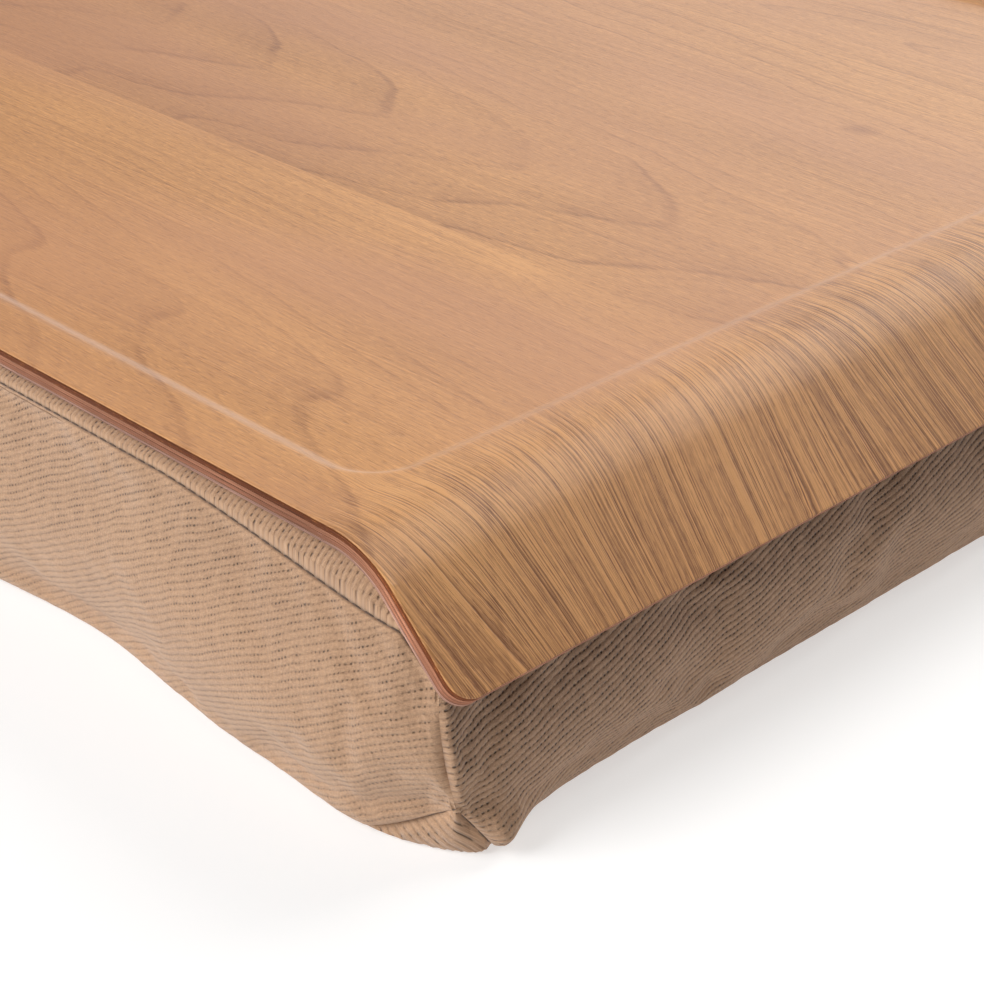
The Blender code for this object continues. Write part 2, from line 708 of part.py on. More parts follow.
def build_zip(finishes, parent):
    """Tapes, rows of teeth and end stops of the zip."""
    seat = ZIP_FACE - CLOTH
    inner, outer = COIL_SPACE / 2, COIL_SPACE / 2 + COIL_WIDTH
    for word, sign in (("upper", 1), ("lower", -1)):
        build_tape(f"zip_tape_{word}", sign, finishes["tape"], parent)
        levels = sorted((ZIP_HEIGHT + sign * inner, ZIP_HEIGHT + sign * outer))
        solid = box((-COIL_HALF, seat, levels[0]), (COIL_HALF, COIL_FACE, levels[1]))
        add_object(f"zip_teeth_{word}", mesh_of(f"zip_teeth_{word}", *solid), finishes["teeth"], parent)
    start = COIL_HALF + TOUCH_GAP
    for word, near in (("closed", -start - STOP_LENGTH), ("open", start)):
        far = near + STOP_LENGTH
        solid = box((near, seat, ZIP_HEIGHT - outer), (far, COIL_FACE, ZIP_HEIGHT + outer))
        name = f"zip_stop_{word}_end"
        add_object(name, mesh_of(name, *solid), finishes["teeth"], parent)


def add_boolean(thing, name, solid, operation):
    """Joins a helper solid to an object, or cuts it out of it, and hides the helper."""
    helper = bpy.data.objects.new(name, mesh_of(name, *solid))
    bpy.context.scene.collection.objects.link(helper)
    helper.parent = thing
    helper.hide_render = True
    helper.display_type = "WIRE"
    boolean = thing.modifiers.new(name, "BOOLEAN")
    boolean.operation = operation
    boolean.solver = "EXACT"
    boolean.object = helper


def build_slider(finishes, parent):
    """The slider: two wings joined by a post between the rows of teeth, and a bridge for the pull."""
    base = TAPE_FACE
    arcs = rounded_ring(SLIDER_LENGTH / 2, SLIDER_WIDTH / 2, SLIDER_WIDTH / 4, 3)
    outline = [point for arc in arcs for point in arc]
    outline.reverse()
    upper = UPPER_WING - base
    lower = LOWER_WING - base
    mesh = mesh_of("zip_slider", *prism(outline, upper, upper + WING, facing_back))
    place = (SLIDER_REST, base, ZIP_HEIGHT)
    slider = add_object("zip_slider", mesh, finishes["metal"], parent, place)
    add_boolean(slider, "lower_wing", prism(outline, lower - WING, lower, facing_back), "UNION")
    sunk = WING / 2
    nose = -SLIDER_LENGTH / 2 + SLIDER_WIDTH / 4
    post = box((nose, lower - sunk, -POST_WIDTH / 2), (nose + POST_LENGTH, upper + sunk, POST_WIDTH / 2))
    add_boolean(slider, "post", post, "UNION")
    foot, far = BRIDGE_LENGTH / 2, BRIDGE_LENGTH / 2 - WING
    low, under = upper + sunk, upper + WING + BRIDGE_WINDOW
    arch = [(-foot, low), (-far, low), (-far, under), (far, under), (far, low), (foot, low)]
    arch += [(foot, under), (far, under + WING), (-far, under + WING), (-foot, under)]
    bridge = prism(arch, -BRIDGE_WIDTH / 2, BRIDGE_WIDTH / 2)
    add_boolean(slider, "bridge", bridge, "UNION")
    return slider


def build_pull(finishes, slider):
    """The pull: a plate with an eye, whose end bar lies through the slider's bridge, on its axis."""
    bar = PULL_THICKNESS / 2
    middle = (PULL_LENGTH - bar) / 2
    arcs = rounded_ring(PULL_LENGTH / 2 + bar / 2, PULL_WIDTH / 2, PULL_RIM, 3)
    outline = [(x + middle, z) for arc in arcs for x, z in arc]
    outline.reverse()
    mesh = mesh_of("zip_pull", *prism(outline, -bar, bar, facing_back))
    place = (0, PULL_AXIS - TAPE_FACE, 0)
    pull = add_object("zip_pull", mesh, finishes["metal"], slider, place)
    inside = PULL_WIDTH / 2 - PULL_RIM
    eye = box((bar, -PULL_THICKNESS, -inside), (EYE_REACH, PULL_THICKNESS, inside))
    add_boolean(pull, "eye", eye, "DIFFERENCE")


def make_finishes():
    """One material for each kind of surface."""
    return {
        "veneer": finish("veneer", (0.60, 0.36, 0.19), 0.42),
        "crossply": finish("crossply", (0.33, 0.15, 0.09), 0.6),
        "coreply": finish("coreply", (0.40, 0.20, 0.13), 0.6),
        "backveneer": finish("backveneer", (0.45, 0.26, 0.15), 0.6),
        "twill": finish("twill", (0.47, 0.35, 0.25), 0.92),
        "hooks": finish("hooks", (0.30, 0.23, 0.17), 0.8),
        "loops": finish("loops", (0.42, 0.33, 0.25), 0.95),
        "bag": finish("bag", (0.78, 0.75, 0.69), 0.9),
        "beads": finish("beads", (0.90, 0.90, 0.88), 0.7),
        "tape": finish("tape", (0.44, 0.34, 0.25), 0.85),
        "teeth": finish("teeth", (0.50, 0.40, 0.30), 0.45),
        "metal": finish("metal", (0.55, 0.53, 0.50), 0.35, 1.0),
    }


def main():
    """Clears the scene and builds the lap desk, its cushion as the body that all else moves on."""
    for thing in list(bpy.data.objects):
        bpy.data.objects.remove(thing, do_unlink=True)
    finishes = make_finishes()
    cushion = add_empty("cushion_body")
    tray = add_empty("tray_body")
    build_tray(finishes, tray)
    build_strips(finishes, tray, cushion)
    build_cover(finishes, cushion)
    build_inner_pad(finishes, cushion)
    build_zip(finishes, cushion)
    slider = build_slider(finishes, cushion)
    build_pull(finishes, slider)
    print(f"slider at X {SLIDER_REST:.5f}, Z {ZIP_HEIGHT:.5f}, travel {2 * COIL_HALF - SLIDER_LENGTH:.5f}")
    print(f"pull axis at Y {PULL_AXIS:.5f}, cushion reach {FRONT_REACH:.5f}")
    print(f"recess floor at Z {TOTAL_HEIGHT - RECESS_DEPTH:.5f}")


main()
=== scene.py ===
# %% [markdown]
# # A lap desk: a bent plywood tray on a bead filled cushion
# The solids of this desk, their joints and their sizes already exist. They are loaded as a fixed frame,
# and this lesson gives them their looks: a figured veneer, twill cloth that was blown up by a cloth
# simulation, seams, hook and loop strips and a zip. Every shape is worked out with numpy as a function
# on a grid, and every finish is made of shader nodes.

# %% Load the frame
import math

import bpy
import numpy as np
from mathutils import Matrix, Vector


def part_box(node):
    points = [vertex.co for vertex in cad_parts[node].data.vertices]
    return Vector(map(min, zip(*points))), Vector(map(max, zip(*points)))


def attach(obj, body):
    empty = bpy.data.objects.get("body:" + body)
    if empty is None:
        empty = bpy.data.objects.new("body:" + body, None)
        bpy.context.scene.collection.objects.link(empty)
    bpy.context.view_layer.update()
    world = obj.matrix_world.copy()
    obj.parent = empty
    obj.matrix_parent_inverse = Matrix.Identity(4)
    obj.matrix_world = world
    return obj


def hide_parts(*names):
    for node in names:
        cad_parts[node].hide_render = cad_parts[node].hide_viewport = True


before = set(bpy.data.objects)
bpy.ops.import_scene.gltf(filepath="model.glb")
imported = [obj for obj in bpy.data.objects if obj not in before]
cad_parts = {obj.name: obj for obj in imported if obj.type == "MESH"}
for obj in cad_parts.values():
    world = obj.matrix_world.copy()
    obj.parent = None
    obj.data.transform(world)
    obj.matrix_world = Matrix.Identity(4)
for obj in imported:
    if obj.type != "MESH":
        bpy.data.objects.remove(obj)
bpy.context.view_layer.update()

# %% [markdown]
# ## Meshes from whole arrays
# A surface here is an array of points with rows and columns. One function numbers its cells, another
# closes two like surfaces into a sheet with a cut edge, and a third carries a ring of points along a
# path. Nothing loops over single points, so a mesh of fifty thousand cells takes a moment.

# %% Grid helpers


def grid_quads(rows, columns):
    """Corner numbers of a grid's cells, points numbered row by row: (i,j), (i+1,j), (i+1,j+1), (i,j+1)."""
    number = np.arange(rows * columns).reshape(rows, columns)
    corners = [number[:-1, :-1], number[1:, :-1], number[1:, 1:], number[:-1, 1:]]
    return np.stack(corners, axis=-1).reshape(-1, 4)


def grid_rim(rows, columns):
    """Point numbers once round a grid's border, in the turning sense of its cells."""
    number = np.arange(rows * columns).reshape(rows, columns)
    return np.concatenate([number[:-1, 0], number[-1, :-1], number[:0:-1, -1], number[0, :0:-1]])


def closed_cells(rows, columns):
    """One face's cells, the rim's point numbers, and the cells of two like faces with a cut edge between."""
    faces, rim = grid_quads(rows, columns), grid_rim(rows, columns)
    after, count = np.roll(rim, -1), rows * columns
    edge = np.stack([after, rim, rim + count, after + count], axis=-1)
    return faces, rim, np.concatenate([faces, faces[:, ::-1] + count, edge])


def ladder(count):
    """Cells that fill a ring of an even number of points: rungs from point k to point count-1-k."""
    k = np.arange(count // 2 - 1)
    return np.stack([k, k + 1, count - 2 - k, count - 1 - k], axis=-1)


def loft(rings):
    """Points and cells of a closed body: rings of points, each joined to the next, both ends filled."""
    steps, count = rings.shape[:2]
    number = np.arange(steps * count).reshape(steps, count)
    turned = np.roll(number, -1, axis=1)
    sides = np.stack([number[:-1], turned[:-1], turned[1:], number[1:]], axis=-1).reshape(-1, 4)
    first = number[0][ladder(count)][:, ::-1]
    last = number[-1][ladder(count)]
    return rings.reshape(-1, 3), np.concatenate([sides, first, last])


def outward(points, quads):
    """Turns a closed body's cells to face out: its volume, the sum of a . (b x c) / 6, is positive."""
    a, b, c, d = (points[quads[:, k]] for k in range(4))
    volume = np.sum(a * np.cross(b, c)) + np.sum(a * np.cross(c, d))
    return quads if volume > 0 else quads[:, ::-1]


def unit(vectors):
    """Vectors divided by their own lengths."""
    return vectors / np.maximum(np.linalg.norm(vectors, axis=-1, keepdims=True), 1e-12)


def circles(side, up, count):
    """A ring for each pair of directions: cos a . side + sin a . up, a once round in equal steps."""
    angle = np.linspace(0, 2 * math.pi, count, endpoint=False)
    return np.cos(angle)[None, :, None] * side[:, None] + np.sin(angle)[None, :, None] * up[:, None]


def tube(path, radius, sides, reference):
    """A round tube along a path.

    Its rings' side is square to the path and to the reference direction, and up is square to both.
    """
    ahead = unit(np.gradient(path, axis=0))
    side = unit(np.cross(ahead, reference))
    return loft(path[:, None] + radius * circles(side, np.cross(side, ahead), sides))


def repeated(points, quads, shifts, turns=None):
    """Copies of a small body: turned about Z by an angle each, then moved by a shift each."""
    turns = np.zeros(len(shifts)) if turns is None else turns
    cos, sin = np.cos(turns)[:, None], np.sin(turns)[:, None]
    x = points[None, :, 0] * cos - points[None, :, 1] * sin
    y = points[None, :, 0] * sin + points[None, :, 1] * cos
    z = np.broadcast_to(points[None, :, 2], x.shape)
    copies = np.stack([x, y, z], axis=-1) + shifts[:, None]
    numbers = quads[None] + (np.arange(len(shifts)) * len(points))[:, None, None]
    return copies.reshape(-1, 3), numbers.reshape(-1, 4)


def joined(*bodies):
    """One list of points and one of cells from several bodies."""
    start = np.cumsum([0] + [len(points) for points, _ in bodies])
    points = np.concatenate([points for points, _ in bodies])
    quads = np.concatenate([quads + begin for (_, quads), begin in zip(bodies, start)])
    return points, quads


def blended_stations(half, count, crowding):
    """Places from -half to half: half ((1 - c) a + c sin(pi a / 2)), a even, so they crowd at the ends."""
    even = np.linspace(-1, 1, 2 * count + 1)
    return half * ((1 - crowding) * even + crowding * np.sin(math.pi / 2 * even))


def wander(place, wavelength, seed):
    """A smooth irregular wave from about -1 to 1: three sines of unlike length, shifted by a seed."""
    phase = np.array([1.7, 4.1, 2.3]) * seed
    turn = 2 * math.pi * place / wavelength
    return (np.sin(turn + phase[0]) + 0.7 * np.sin(1.618 * turn + phase[1])
            + 0.5 * np.sin(2.414 * turn + phase[2])) / 2.2


# %% [markdown]
# ## Pieces
# A piece is a mesh that rides on one of the moving bodies, takes a finish, and stands for a solid of
# the frame. One function does all three, so that no piece is forgotten. A map of metres is stored with
# the mesh: cloth and veneer patterns are laid out on it as on a cutting table.

# %% Piece helpers


def placed(name, data):
    """Makes an object from a mesh, a lamp or a camera, and puts it in the scene."""
    made = bpy.data.objects.new(name, data)
    bpy.context.scene.collection.objects.link(made)
    return made


def add_piece(name, points, quads, finish, body, slot, replaces=(), flat_map=None, sharp=40):
    """Makes a mesh object, shades it smooth up to a sharp angle and ties it to its body and its node."""
    mesh = bpy.data.meshes.new(name)
    mesh.from_pydata(points, [], quads)
    mesh.shade_smooth()
    mesh.set_sharp_from_angle(angle=math.radians(sharp))
    if flat_map is not None:
        layer = mesh.uv_layers.new(name="flat")
        layer.uv.foreach_set("vector", flat_map.astype(np.float32).ravel())
    for each in finish if isinstance(finish, (list, tuple)) else [finish]:
        mesh.materials.append(each)
    piece = placed(name, mesh)
    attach(piece, body)
    if replaces:
        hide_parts(*replaces)
    print(f"{name}: {len(points)} points, {2 * len(quads)} triangles")
    return piece


def add_layer(mesh, name, values):
    """Stores one number for each point of a mesh under a name that a finish can read."""
    layer = mesh.attributes.new(name=name, type="FLOAT", domain="POINT")
    layer.data.foreach_set("value", values.astype(np.float32).ravel())


def thicken(piece, thickness, offset=-1.0):
    """Gives an open surface its real thickness, on its inner side."""
    wall = piece.modifiers.new("thickness", "SOLIDIFY")
    wall.thickness = thickness
    wall.offset = offset
    return wall


# %% [markdown]
# ## Finishes from nodes
# A material is a small calculation that Blender runs at each point of a surface. These helpers write
# one node each, so that a finish below reads like the sum that it is.

# %% Node helpers


def feed(tree, socket, source):
    """Links a socket to another node's output, or sets the socket's own value."""
    if isinstance(source, bpy.types.NodeSocket):
        tree.links.new(source, socket)
    elif source is not None:
        socket.default_value = source


def calc(tree, operation, *sources, clamp=False):
    """One Math node."""
    node = tree.nodes.new("ShaderNodeMath")
    node.operation = operation
    node.use_clamp = clamp
    for socket, source in zip(node.inputs, sources):
        feed(tree, socket, source)
    return node.outputs[0]


def ranged(tree, value, low, high, to_low=0.0, to_high=1.0, smooth=False):
    """Carries a value from one range to another, held at the ends."""
    node = tree.nodes.new("ShaderNodeMapRange")
    node.interpolation_type = "SMOOTHSTEP" if smooth else "LINEAR"
    for socket, source in zip(node.inputs, (value, low, high, to_low, to_high)):
        feed(tree, socket, source)
    return node.outputs[0]


def mixed(tree, share, first, second, blend="MIX"):
    """Mixes two colours by a share."""
    node = tree.nodes.new("ShaderNodeMix")
    node.data_type = "RGBA"
    node.blend_type = blend
    feed(tree, node.inputs[0], share)
    feed(tree, node.inputs[6], first)
    feed(tree, node.inputs[7], second)
    return node.outputs[2]


def grey(tree, value):
    """A colour whose three parts are one value."""
    node = tree.nodes.new("ShaderNodeCombineColor")
    for socket in node.inputs:
        feed(tree, socket, value)
    return node.outputs[0]


def grain_noise(tree, place, stretch, detail=2.0, roughness=0.5, seed=0.0):
    """Noise whose grains have the size 1 / stretch along each axis of the place."""
    node = tree.nodes.new("ShaderNodeVectorMath")
    node.operation = "MULTIPLY_ADD"
    feed(tree, node.inputs[0], place)
    node.inputs[1].default_value = stretch
    node.inputs[2].default_value = (seed, seed, seed)
    noise = tree.nodes.new("ShaderNodeTexNoise")
    feed(tree, noise.inputs["Vector"], node.outputs[0])
    noise.inputs["Scale"].default_value = 1.0
    noise.inputs["Detail"].default_value = detail
    noise.inputs["Roughness"].default_value = roughness
    return noise.outputs["Fac"]


def flat_place(tree):
    """The flat map's coordinates in metres: the place itself, then its two axes apart."""
    node = tree.nodes.new("ShaderNodeUVMap")
    node.uv_map = "flat"
    parts = tree.nodes.new("ShaderNodeSeparateXYZ")
    tree.links.new(node.outputs[0], parts.inputs[0])
    return node.outputs[0], parts.outputs[0], parts.outputs[1]


def object_place(tree):
    """The place on the object in metres."""
    return tree.nodes.new("ShaderNodeTexCoord").outputs["Object"]


def named_layer(tree, name):
    """A number that the mesh stores for each of its points."""
    node = tree.nodes.new("ShaderNodeAttribute")
    node.attribute_name = name
    return node.outputs["Fac"]


def new_finish(name, **settings):
    """A material with one Principled shader, whose plain settings are given by the socket's name."""
    material = bpy.data.materials.new(name)
    material.use_nodes = True
    tree = material.node_tree
    shader = tree.nodes["Principled BSDF"]
    for socket, value in settings.items():
        shader.inputs[socket.replace("_", " ")].default_value = value
    return material, tree, shader


def rise(tree, shader, height, distance, strength=1.0):
    """Lets a height in 0 to 1 tilt the light as if the surface rose by a distance."""
    bump = tree.nodes.new("ShaderNodeBump")
    bump.inputs["Strength"].default_value = strength
    bump.inputs["Distance"].default_value = distance
    feed(tree, bump.inputs["Height"], height)
    tree.links.new(bump.outputs["Normal"], shader.inputs["Normal"])


# %% [markdown]
# ## The tray's shape
# The real tray is one stack of veneers, pressed hot in a mould: flat in the middle, with a shallow
# recess, and rolled down at its two short ends. One could model it with extrudes and bevels. A formula
# is better here, because all five plies share it: a flat sheet is carried on to the bent one, and a ply
# is that sheet at its own depth.

# %% Sizes of the tray
veneer_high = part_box("tray_face_veneer")[1]
TRAY_HALF = float(veneer_high[0])
WIDTH_HALF = float(veneer_high[1])
TOTAL_HEIGHT = float(veneer_high[2])
BEND_RADIUS = 0.024
BEND_ANGLE = math.radians(43.5)
SLOPE_RUN = 0.0237
TIP_CORNER = 0.005
RECESS_DEPTH = 0.0018
RECESS_STEP = 0.0045
RECESS_CORNER = 0.0145
RECESS_INSIDE_BEND = 0.006
RECESS_INSIDE_EDGE = 0.0142
FACE_VENEER = 0.0006
INNER_PLY = 0.0009
GLUE_LINE = 0.0001
ARRIS = 0.00035
TRAY_THICKNESS = 2 * FACE_VENEER + 3 * INNER_PLY + 4 * GLUE_LINE
FLAT_HALF = TRAY_HALF - BEND_RADIUS * math.sin(BEND_ANGLE) - SLOPE_RUN * math.cos(BEND_ANGLE)
BEND_RUN = BEND_RADIUS * BEND_ANGLE
SHEET_HALF = FLAT_HALF + BEND_RUN + SLOPE_RUN
RECESS_HALF_X = FLAT_HALF - RECESS_INSIDE_BEND
RECESS_HALF_Y = WIDTH_HALF - RECESS_INSIDE_EDGE
LEAF_JOINTS = (-0.068, 0.058)
JOINT_GAP = 2e-5
print(f"sheet {2000 * SHEET_HALF:.1f} x {2000 * WIDTH_HALF:.1f} mm before it is bent")

# %% Tray formula


def smooth_step(value):
    """0 below 0, 1 above 1, and 3 v^2 - 2 v^3 between them."""
    held = np.clip(value, 0, 1)
    return held * held * (3 - 2 * held)


def recess_drop(along, across):
    """How far the recess lies below the border: a smooth step over the first 4.5 mm inside its outline.

    The distance to a rounded rectangle is that to a smaller one, less the corner's radius.
    """
    past_x = np.abs(along) - (RECESS_HALF_X - RECESS_CORNER)
    past_y = np.abs(across) - (RECESS_HALF_Y - RECESS_CORNER)
    outside = np.hypot(np.maximum(past_x, 0), np.maximum(past_y, 0))
    inset = RECESS_CORNER - outside - np.minimum(np.maximum(past_x, past_y), 0)
    return RECESS_DEPTH * smooth_step(inset / RECESS_STEP)


def sheet_point(along, across, depth):
    """Carries a point of the flat sheet on to the bent one.

    Up to the bend it stays level. Past it the sheet turns by its run over the radius, up to 43.5
    degrees, and then runs straight down that slope. Depth is taken off the radius.
    """
    run = np.abs(along) - FLAT_HALF
    turn = np.clip(run / BEND_RADIUS, 0, BEND_ANGLE)
    slope = np.clip(run - BEND_RUN, 0, None)
    reach = BEND_RADIUS - depth
    x = np.minimum(np.abs(along), FLAT_HALF) + reach * np.sin(turn) + slope * math.cos(BEND_ANGLE)
    z = TOTAL_HEIGHT - BEND_RADIUS + reach * np.cos(turn) - slope * math.sin(BEND_ANGLE)
    return np.stack([np.sign(along) * x, across, z - recess_drop(along, across)], axis=-1)


def half_width(along):
    """Half the sheet's width: full, then along a quarter circle at the tips' corners."""
    past = np.clip((np.abs(along) - SHEET_HALF + TIP_CORNER) / TIP_CORNER, 0, 1)
    return WIDTH_HALF - TIP_CORNER * (1 - np.sqrt(1 - past ** 2))


def spread(*parts):
    """Joins stretches of even stations (start, end, count), sorted, each place once."""
    return np.unique(np.round(np.concatenate([np.linspace(a, b, n) for a, b, n in parts]), 7))


def tray_stations(fineness):
    """Places along and across the sheet: dense at the recess, the bend, the tips and the edges."""
    corner_start = RECESS_HALF_X - RECESS_CORNER - RECESS_STEP
    tip = SHEET_HALF - TIP_CORNER * (1 - np.sin(np.linspace(0, math.pi / 2, 9)))
    along = spread(
        (0, corner_start, int(84 * fineness)),
        (corner_start, RECESS_HALF_X, int(36 * fineness)),
        (RECESS_HALF_X, FLAT_HALF, int(5 * fineness) + 1),
        (FLAT_HALF, FLAT_HALF + BEND_RUN, int(18 * fineness) + 4),
        (FLAT_HALF + BEND_RUN, SHEET_HALF - TIP_CORNER, int(8 * fineness) + 1),
    )
    rim = SHEET_HALF - ARRIS * (1 - np.sin(np.linspace(0, math.pi / 2, 5)))
    along = np.unique(np.concatenate([along, tip[:-1], rim]))
    side_start = RECESS_HALF_Y - RECESS_CORNER - RECESS_STEP
    across = spread(
        (0, side_start, int(70 * fineness)),
        (side_start, RECESS_HALF_Y, int(36 * fineness)),
        (RECESS_HALF_Y, WIDTH_HALF - ARRIS, int(9 * fineness) + 1),
    )
    edge = WIDTH_HALF - ARRIS * (1 - np.sin(np.linspace(0, math.pi / 2, 5)))
    across = np.unique(np.concatenate([across, edge]))
    both = [np.concatenate([-half[:0:-1], half]) for half in (along, across)]
    joints = np.array([joint + gap for joint in LEAF_JOINTS for gap in (-JOINT_GAP, JOINT_GAP)])
    return both[0], np.unique(np.concatenate([both[1], joints]))


def arris_drop(along, across):
    """How far the rounded arris sinks below the face: 1 - sqrt(1 - s^2), s over its last 0.35 mm."""
    inset = np.minimum(SHEET_HALF - np.abs(along), WIDTH_HALF - np.abs(across))
    share = np.clip(1 - inset / ARRIS, 0, 1)
    return ARRIS * (1 - np.sqrt(1 - share ** 2))


def ply_body(top, thickness, fineness, rounded):
    """A ply: two grids at its two depths and a cut edge between them, with a flat map of each face.

    On the faces the map holds metres along and across the sheet. On the cut edge it holds metres
    round the rim, and metres down from the ply's top.
    """
    along, across = tray_stations(fineness)
    u, v = np.meshgrid(along, across, indexing="ij")
    narrowed = v * half_width(u) / WIDTH_HALF
    sink = arris_drop(u, v) if rounded else 0.0
    upper = sheet_point(u, narrowed, top + sink)
    lower = sheet_point(u, narrowed, top + thickness)
    points = np.concatenate([upper.reshape(-1, 3), lower.reshape(-1, 3)])
    faces, rim, quads = closed_cells(*u.shape)
    flat = np.stack([u.ravel(), narrowed.ravel()], axis=-1)
    step = np.linalg.norm(points[np.roll(rim, -1)] - points[rim], axis=1)
    start = np.cumsum(step) - step
    down = np.zeros_like(start)
    edge_map = np.stack([
        np.stack([start + step, down], axis=-1), np.stack([start, down], axis=-1),
        np.stack([start, down + thickness], axis=-1), np.stack([start + step, down + thickness], axis=-1),
    ], axis=1)
    flat_map = np.concatenate([flat[faces], flat[faces[:, ::-1]], edge_map])
    is_edge = np.concatenate([np.zeros(2 * len(faces), int), np.ones(len(rim), int)])
    return points, quads, flat_map, is_edge, np.tile(u.ravel(), 2), np.tile(narrowed.ravel(), 2)


# %% [markdown]
# ## The veneer's figure
# The face is three leaves of a flat cut veneer, side by side. Where a knife cuts a log's growth rings
# at a low angle, they show as nested arches. The rings are found here as one field over the sheet: its
# value is how far the tree had grown there, and a ring shows wherever it passes a multiple of the ring
# spacing. The field is worked out with numpy and stored with the mesh. The nodes add the fine parts.

# %% Growth field
RING_SPACING = 0.052
FRONT_RING_V = (
    -0.1825, -0.172, -0.164, -0.158, -0.150, -0.142, -0.138, -0.132, -0.1255, -0.117, -0.104, -0.068,
)
FRONT_RING_U = (0.055, 0.040, 0.018, 0.006, -0.002, 0.001, -0.006, -0.032, -0.080, -0.131, -0.260, -0.660)
MIDDLE_RING_V = (-0.068, -0.060, -0.048, -0.038, -0.031, -0.028, -0.024, -0.014, -0.006, 0.006, 0.020, 0.058)
MIDDLE_RING_U = (-0.088, -0.054, -0.036, -0.016, -0.001, 0.0, -0.003, -0.012, -0.034, -0.112, -0.240, -0.700)
FRONT_START = 0.165
MIDDLE_START = 0.155
BACK_START = 0.020
BACK_MIDDLE = 0.121
BACK_SLIMNESS = 0.16
BACK_BLUNTNESS = 0.020
BACK_STEEPNESS = 6.0
FAINT_STEEPNESS = 9
SLOPE_STEP = 0.001
KNOT_U = 0.130
KNOT_V = -0.080


def arches(along, across, middle, slimness, bluntness):
    """Arches that open to the left: u + sqrt(((v - middle) / slimness)^2 + b^2) - b."""
    away = (across - middle) / slimness
    return along + np.sqrt(away ** 2 + bluntness ** 2) - bluntness


def steepness(place, ring_v, ring_u):
    """How far a ring's outline moves along the sheet for each metre across it, taken over 2 mm."""
    ahead = np.interp(place + SLOPE_STEP, ring_v, ring_u)
    behind = np.interp(place - SLOPE_STEP, ring_v, ring_u)
    return np.abs(ahead - behind) / (2 * SLOPE_STEP)


def growth_field(along, across):
    """Growth in metres, and how clear its rings are, 0 to 1.

    A ring's outline says how far along the sheet it reaches at each place across it, and all the rings
    of a leaf repeat it: growth = along - outline(across). The front leaf's is a flank that hooks down,
    the middle one's an arch, and the back one has arches that open to the right. A slow wave bends the
    rings a little. Where they run close together they are fainter: 1 / sqrt(1 + (steepness / 9)^2).
    """
    sway = 0.0016 * wander(along, 0.16, 1.0) + 0.0008 * wander(along, 0.05, 2.0)
    sway = sway - 0.06 * np.clip(0.08 - along, 0, None)
    teeth = 0.004 * wander(across, 0.011, 3.0) * smooth_step((along - 0.165) / 0.02)
    place = across + np.where(across < LEAF_JOINTS[0], 0.3, 1.0) * sway
    front = along - np.interp(place, FRONT_RING_V, FRONT_RING_U) - FRONT_START
    knot = np.exp(-((along - KNOT_U) / 0.016) ** 2 - ((across - KNOT_V) / 0.010) ** 2)
    front = front - 0.085 * knot
    middle = along - np.interp(place, MIDDLE_RING_V, MIDDLE_RING_U) - MIDDLE_START + teeth
    back = arches(-along, across, BACK_MIDDLE + sway, BACK_SLIMNESS, BACK_BLUNTNESS) - BACK_START
    in_front, in_middle = across < LEAF_JOINTS[0], across < LEAF_JOINTS[1]
    field = np.where(in_front, front, np.where(in_middle, middle, back))
    front_steepness = steepness(place, FRONT_RING_V, FRONT_RING_U)
    middle_steepness = steepness(place, MIDDLE_RING_V, MIDDLE_RING_U)
    steep = np.where(in_front, front_steepness, np.where(in_middle, middle_steepness, BACK_STEEPNESS))
    return field, 1 / np.sqrt(1 + (steep / FAINT_STEEPNESS) ** 2)


SWERVE_V = (-0.185, -0.165, -0.125, -0.085, -0.045, 0.060, 0.185)
SWERVE = (-0.12, -0.20, 0.16, 0.18, -0.12, -0.08, 0.05)
SWERVE_START = 0.190


def fibre_field(along, across):
    """The fibres' own place across the sheet: across + swerve(across) (|along| - 190 mm) past there."""
    return across + np.interp(across, SWERVE_V, SWERVE) * np.clip(np.abs(along) - SWERVE_START, 0, None)


def step_field(along, across):
    """How near a place is to the middle of the recess's step: the root of 4 s (1 - s), s = drop / depth."""
    share = recess_drop(along, across) / RECESS_DEPTH
    return np.sqrt(np.clip(4 * share * (1 - share), 0, None))


def tone_and_shade_field(along, across):
    """Lightness added to the wood, about 0: each leaf's own, darker towards the middle leaf's near joint and
    the bent tips, a pale patch beside that joint, two small dark knots, and painted shade on the left half."""
    leaf = np.where(across < LEAF_JOINTS[0], 0.06, np.where(across < LEAF_JOINTS[1], -0.03, 0.05))
    near_joint = np.exp(-np.abs(across - LEAF_JOINTS[0]) / 0.020)
    near_joint = near_joint * (1 - smooth_step((along - 0.105) / 0.045))
    joint = np.where(across < LEAF_JOINTS[0], 0.22, -0.22) * near_joint
    patch = np.exp(-((along - 0.132) / 0.010) ** 2 - ((across + 0.073) / 0.005) ** 2)
    knots = np.exp(-((along - 0.132) / 0.004) ** 2 - ((across - 0.054) / 0.003) ** 2)
    knots = knots + 0.5 * np.exp(-((along - 0.203) / 0.006) ** 2 - ((across + 0.010) / 0.010) ** 2)
    to_tip = smooth_step((np.abs(along) - 0.212) / 0.018)
    tips = to_tip * (0.16 + 0.42 * smooth_step((np.abs(across) - 0.135) / 0.04))
    # Painted shade: the left half of the face is darkened, by up to 0.30.
    joint = joint - tips - 0.30 * smooth_step((0.11 - along) / 0.22)
    return leaf + joint + 0.35 * patch - 0.9 * knots


# %% [markdown]
# ## The veneer's finish
# Three things make wood look like wood: the rings, the fibres that run along the grain, and the pores
# that the fibres leave open. Each is a noise or a saw wave stretched along the sheet. The streaks are
# stronger on the bent ends, where pressing has opened the grain. A satin lacquer lies over all of it.

# %% Veneer finish
# Share of the highlight painted along the recess's step.
STEP_PAINTED_HIGHLIGHT = 0.24
FINE_RINGS = 5.3
BEND_EASE = 0.004


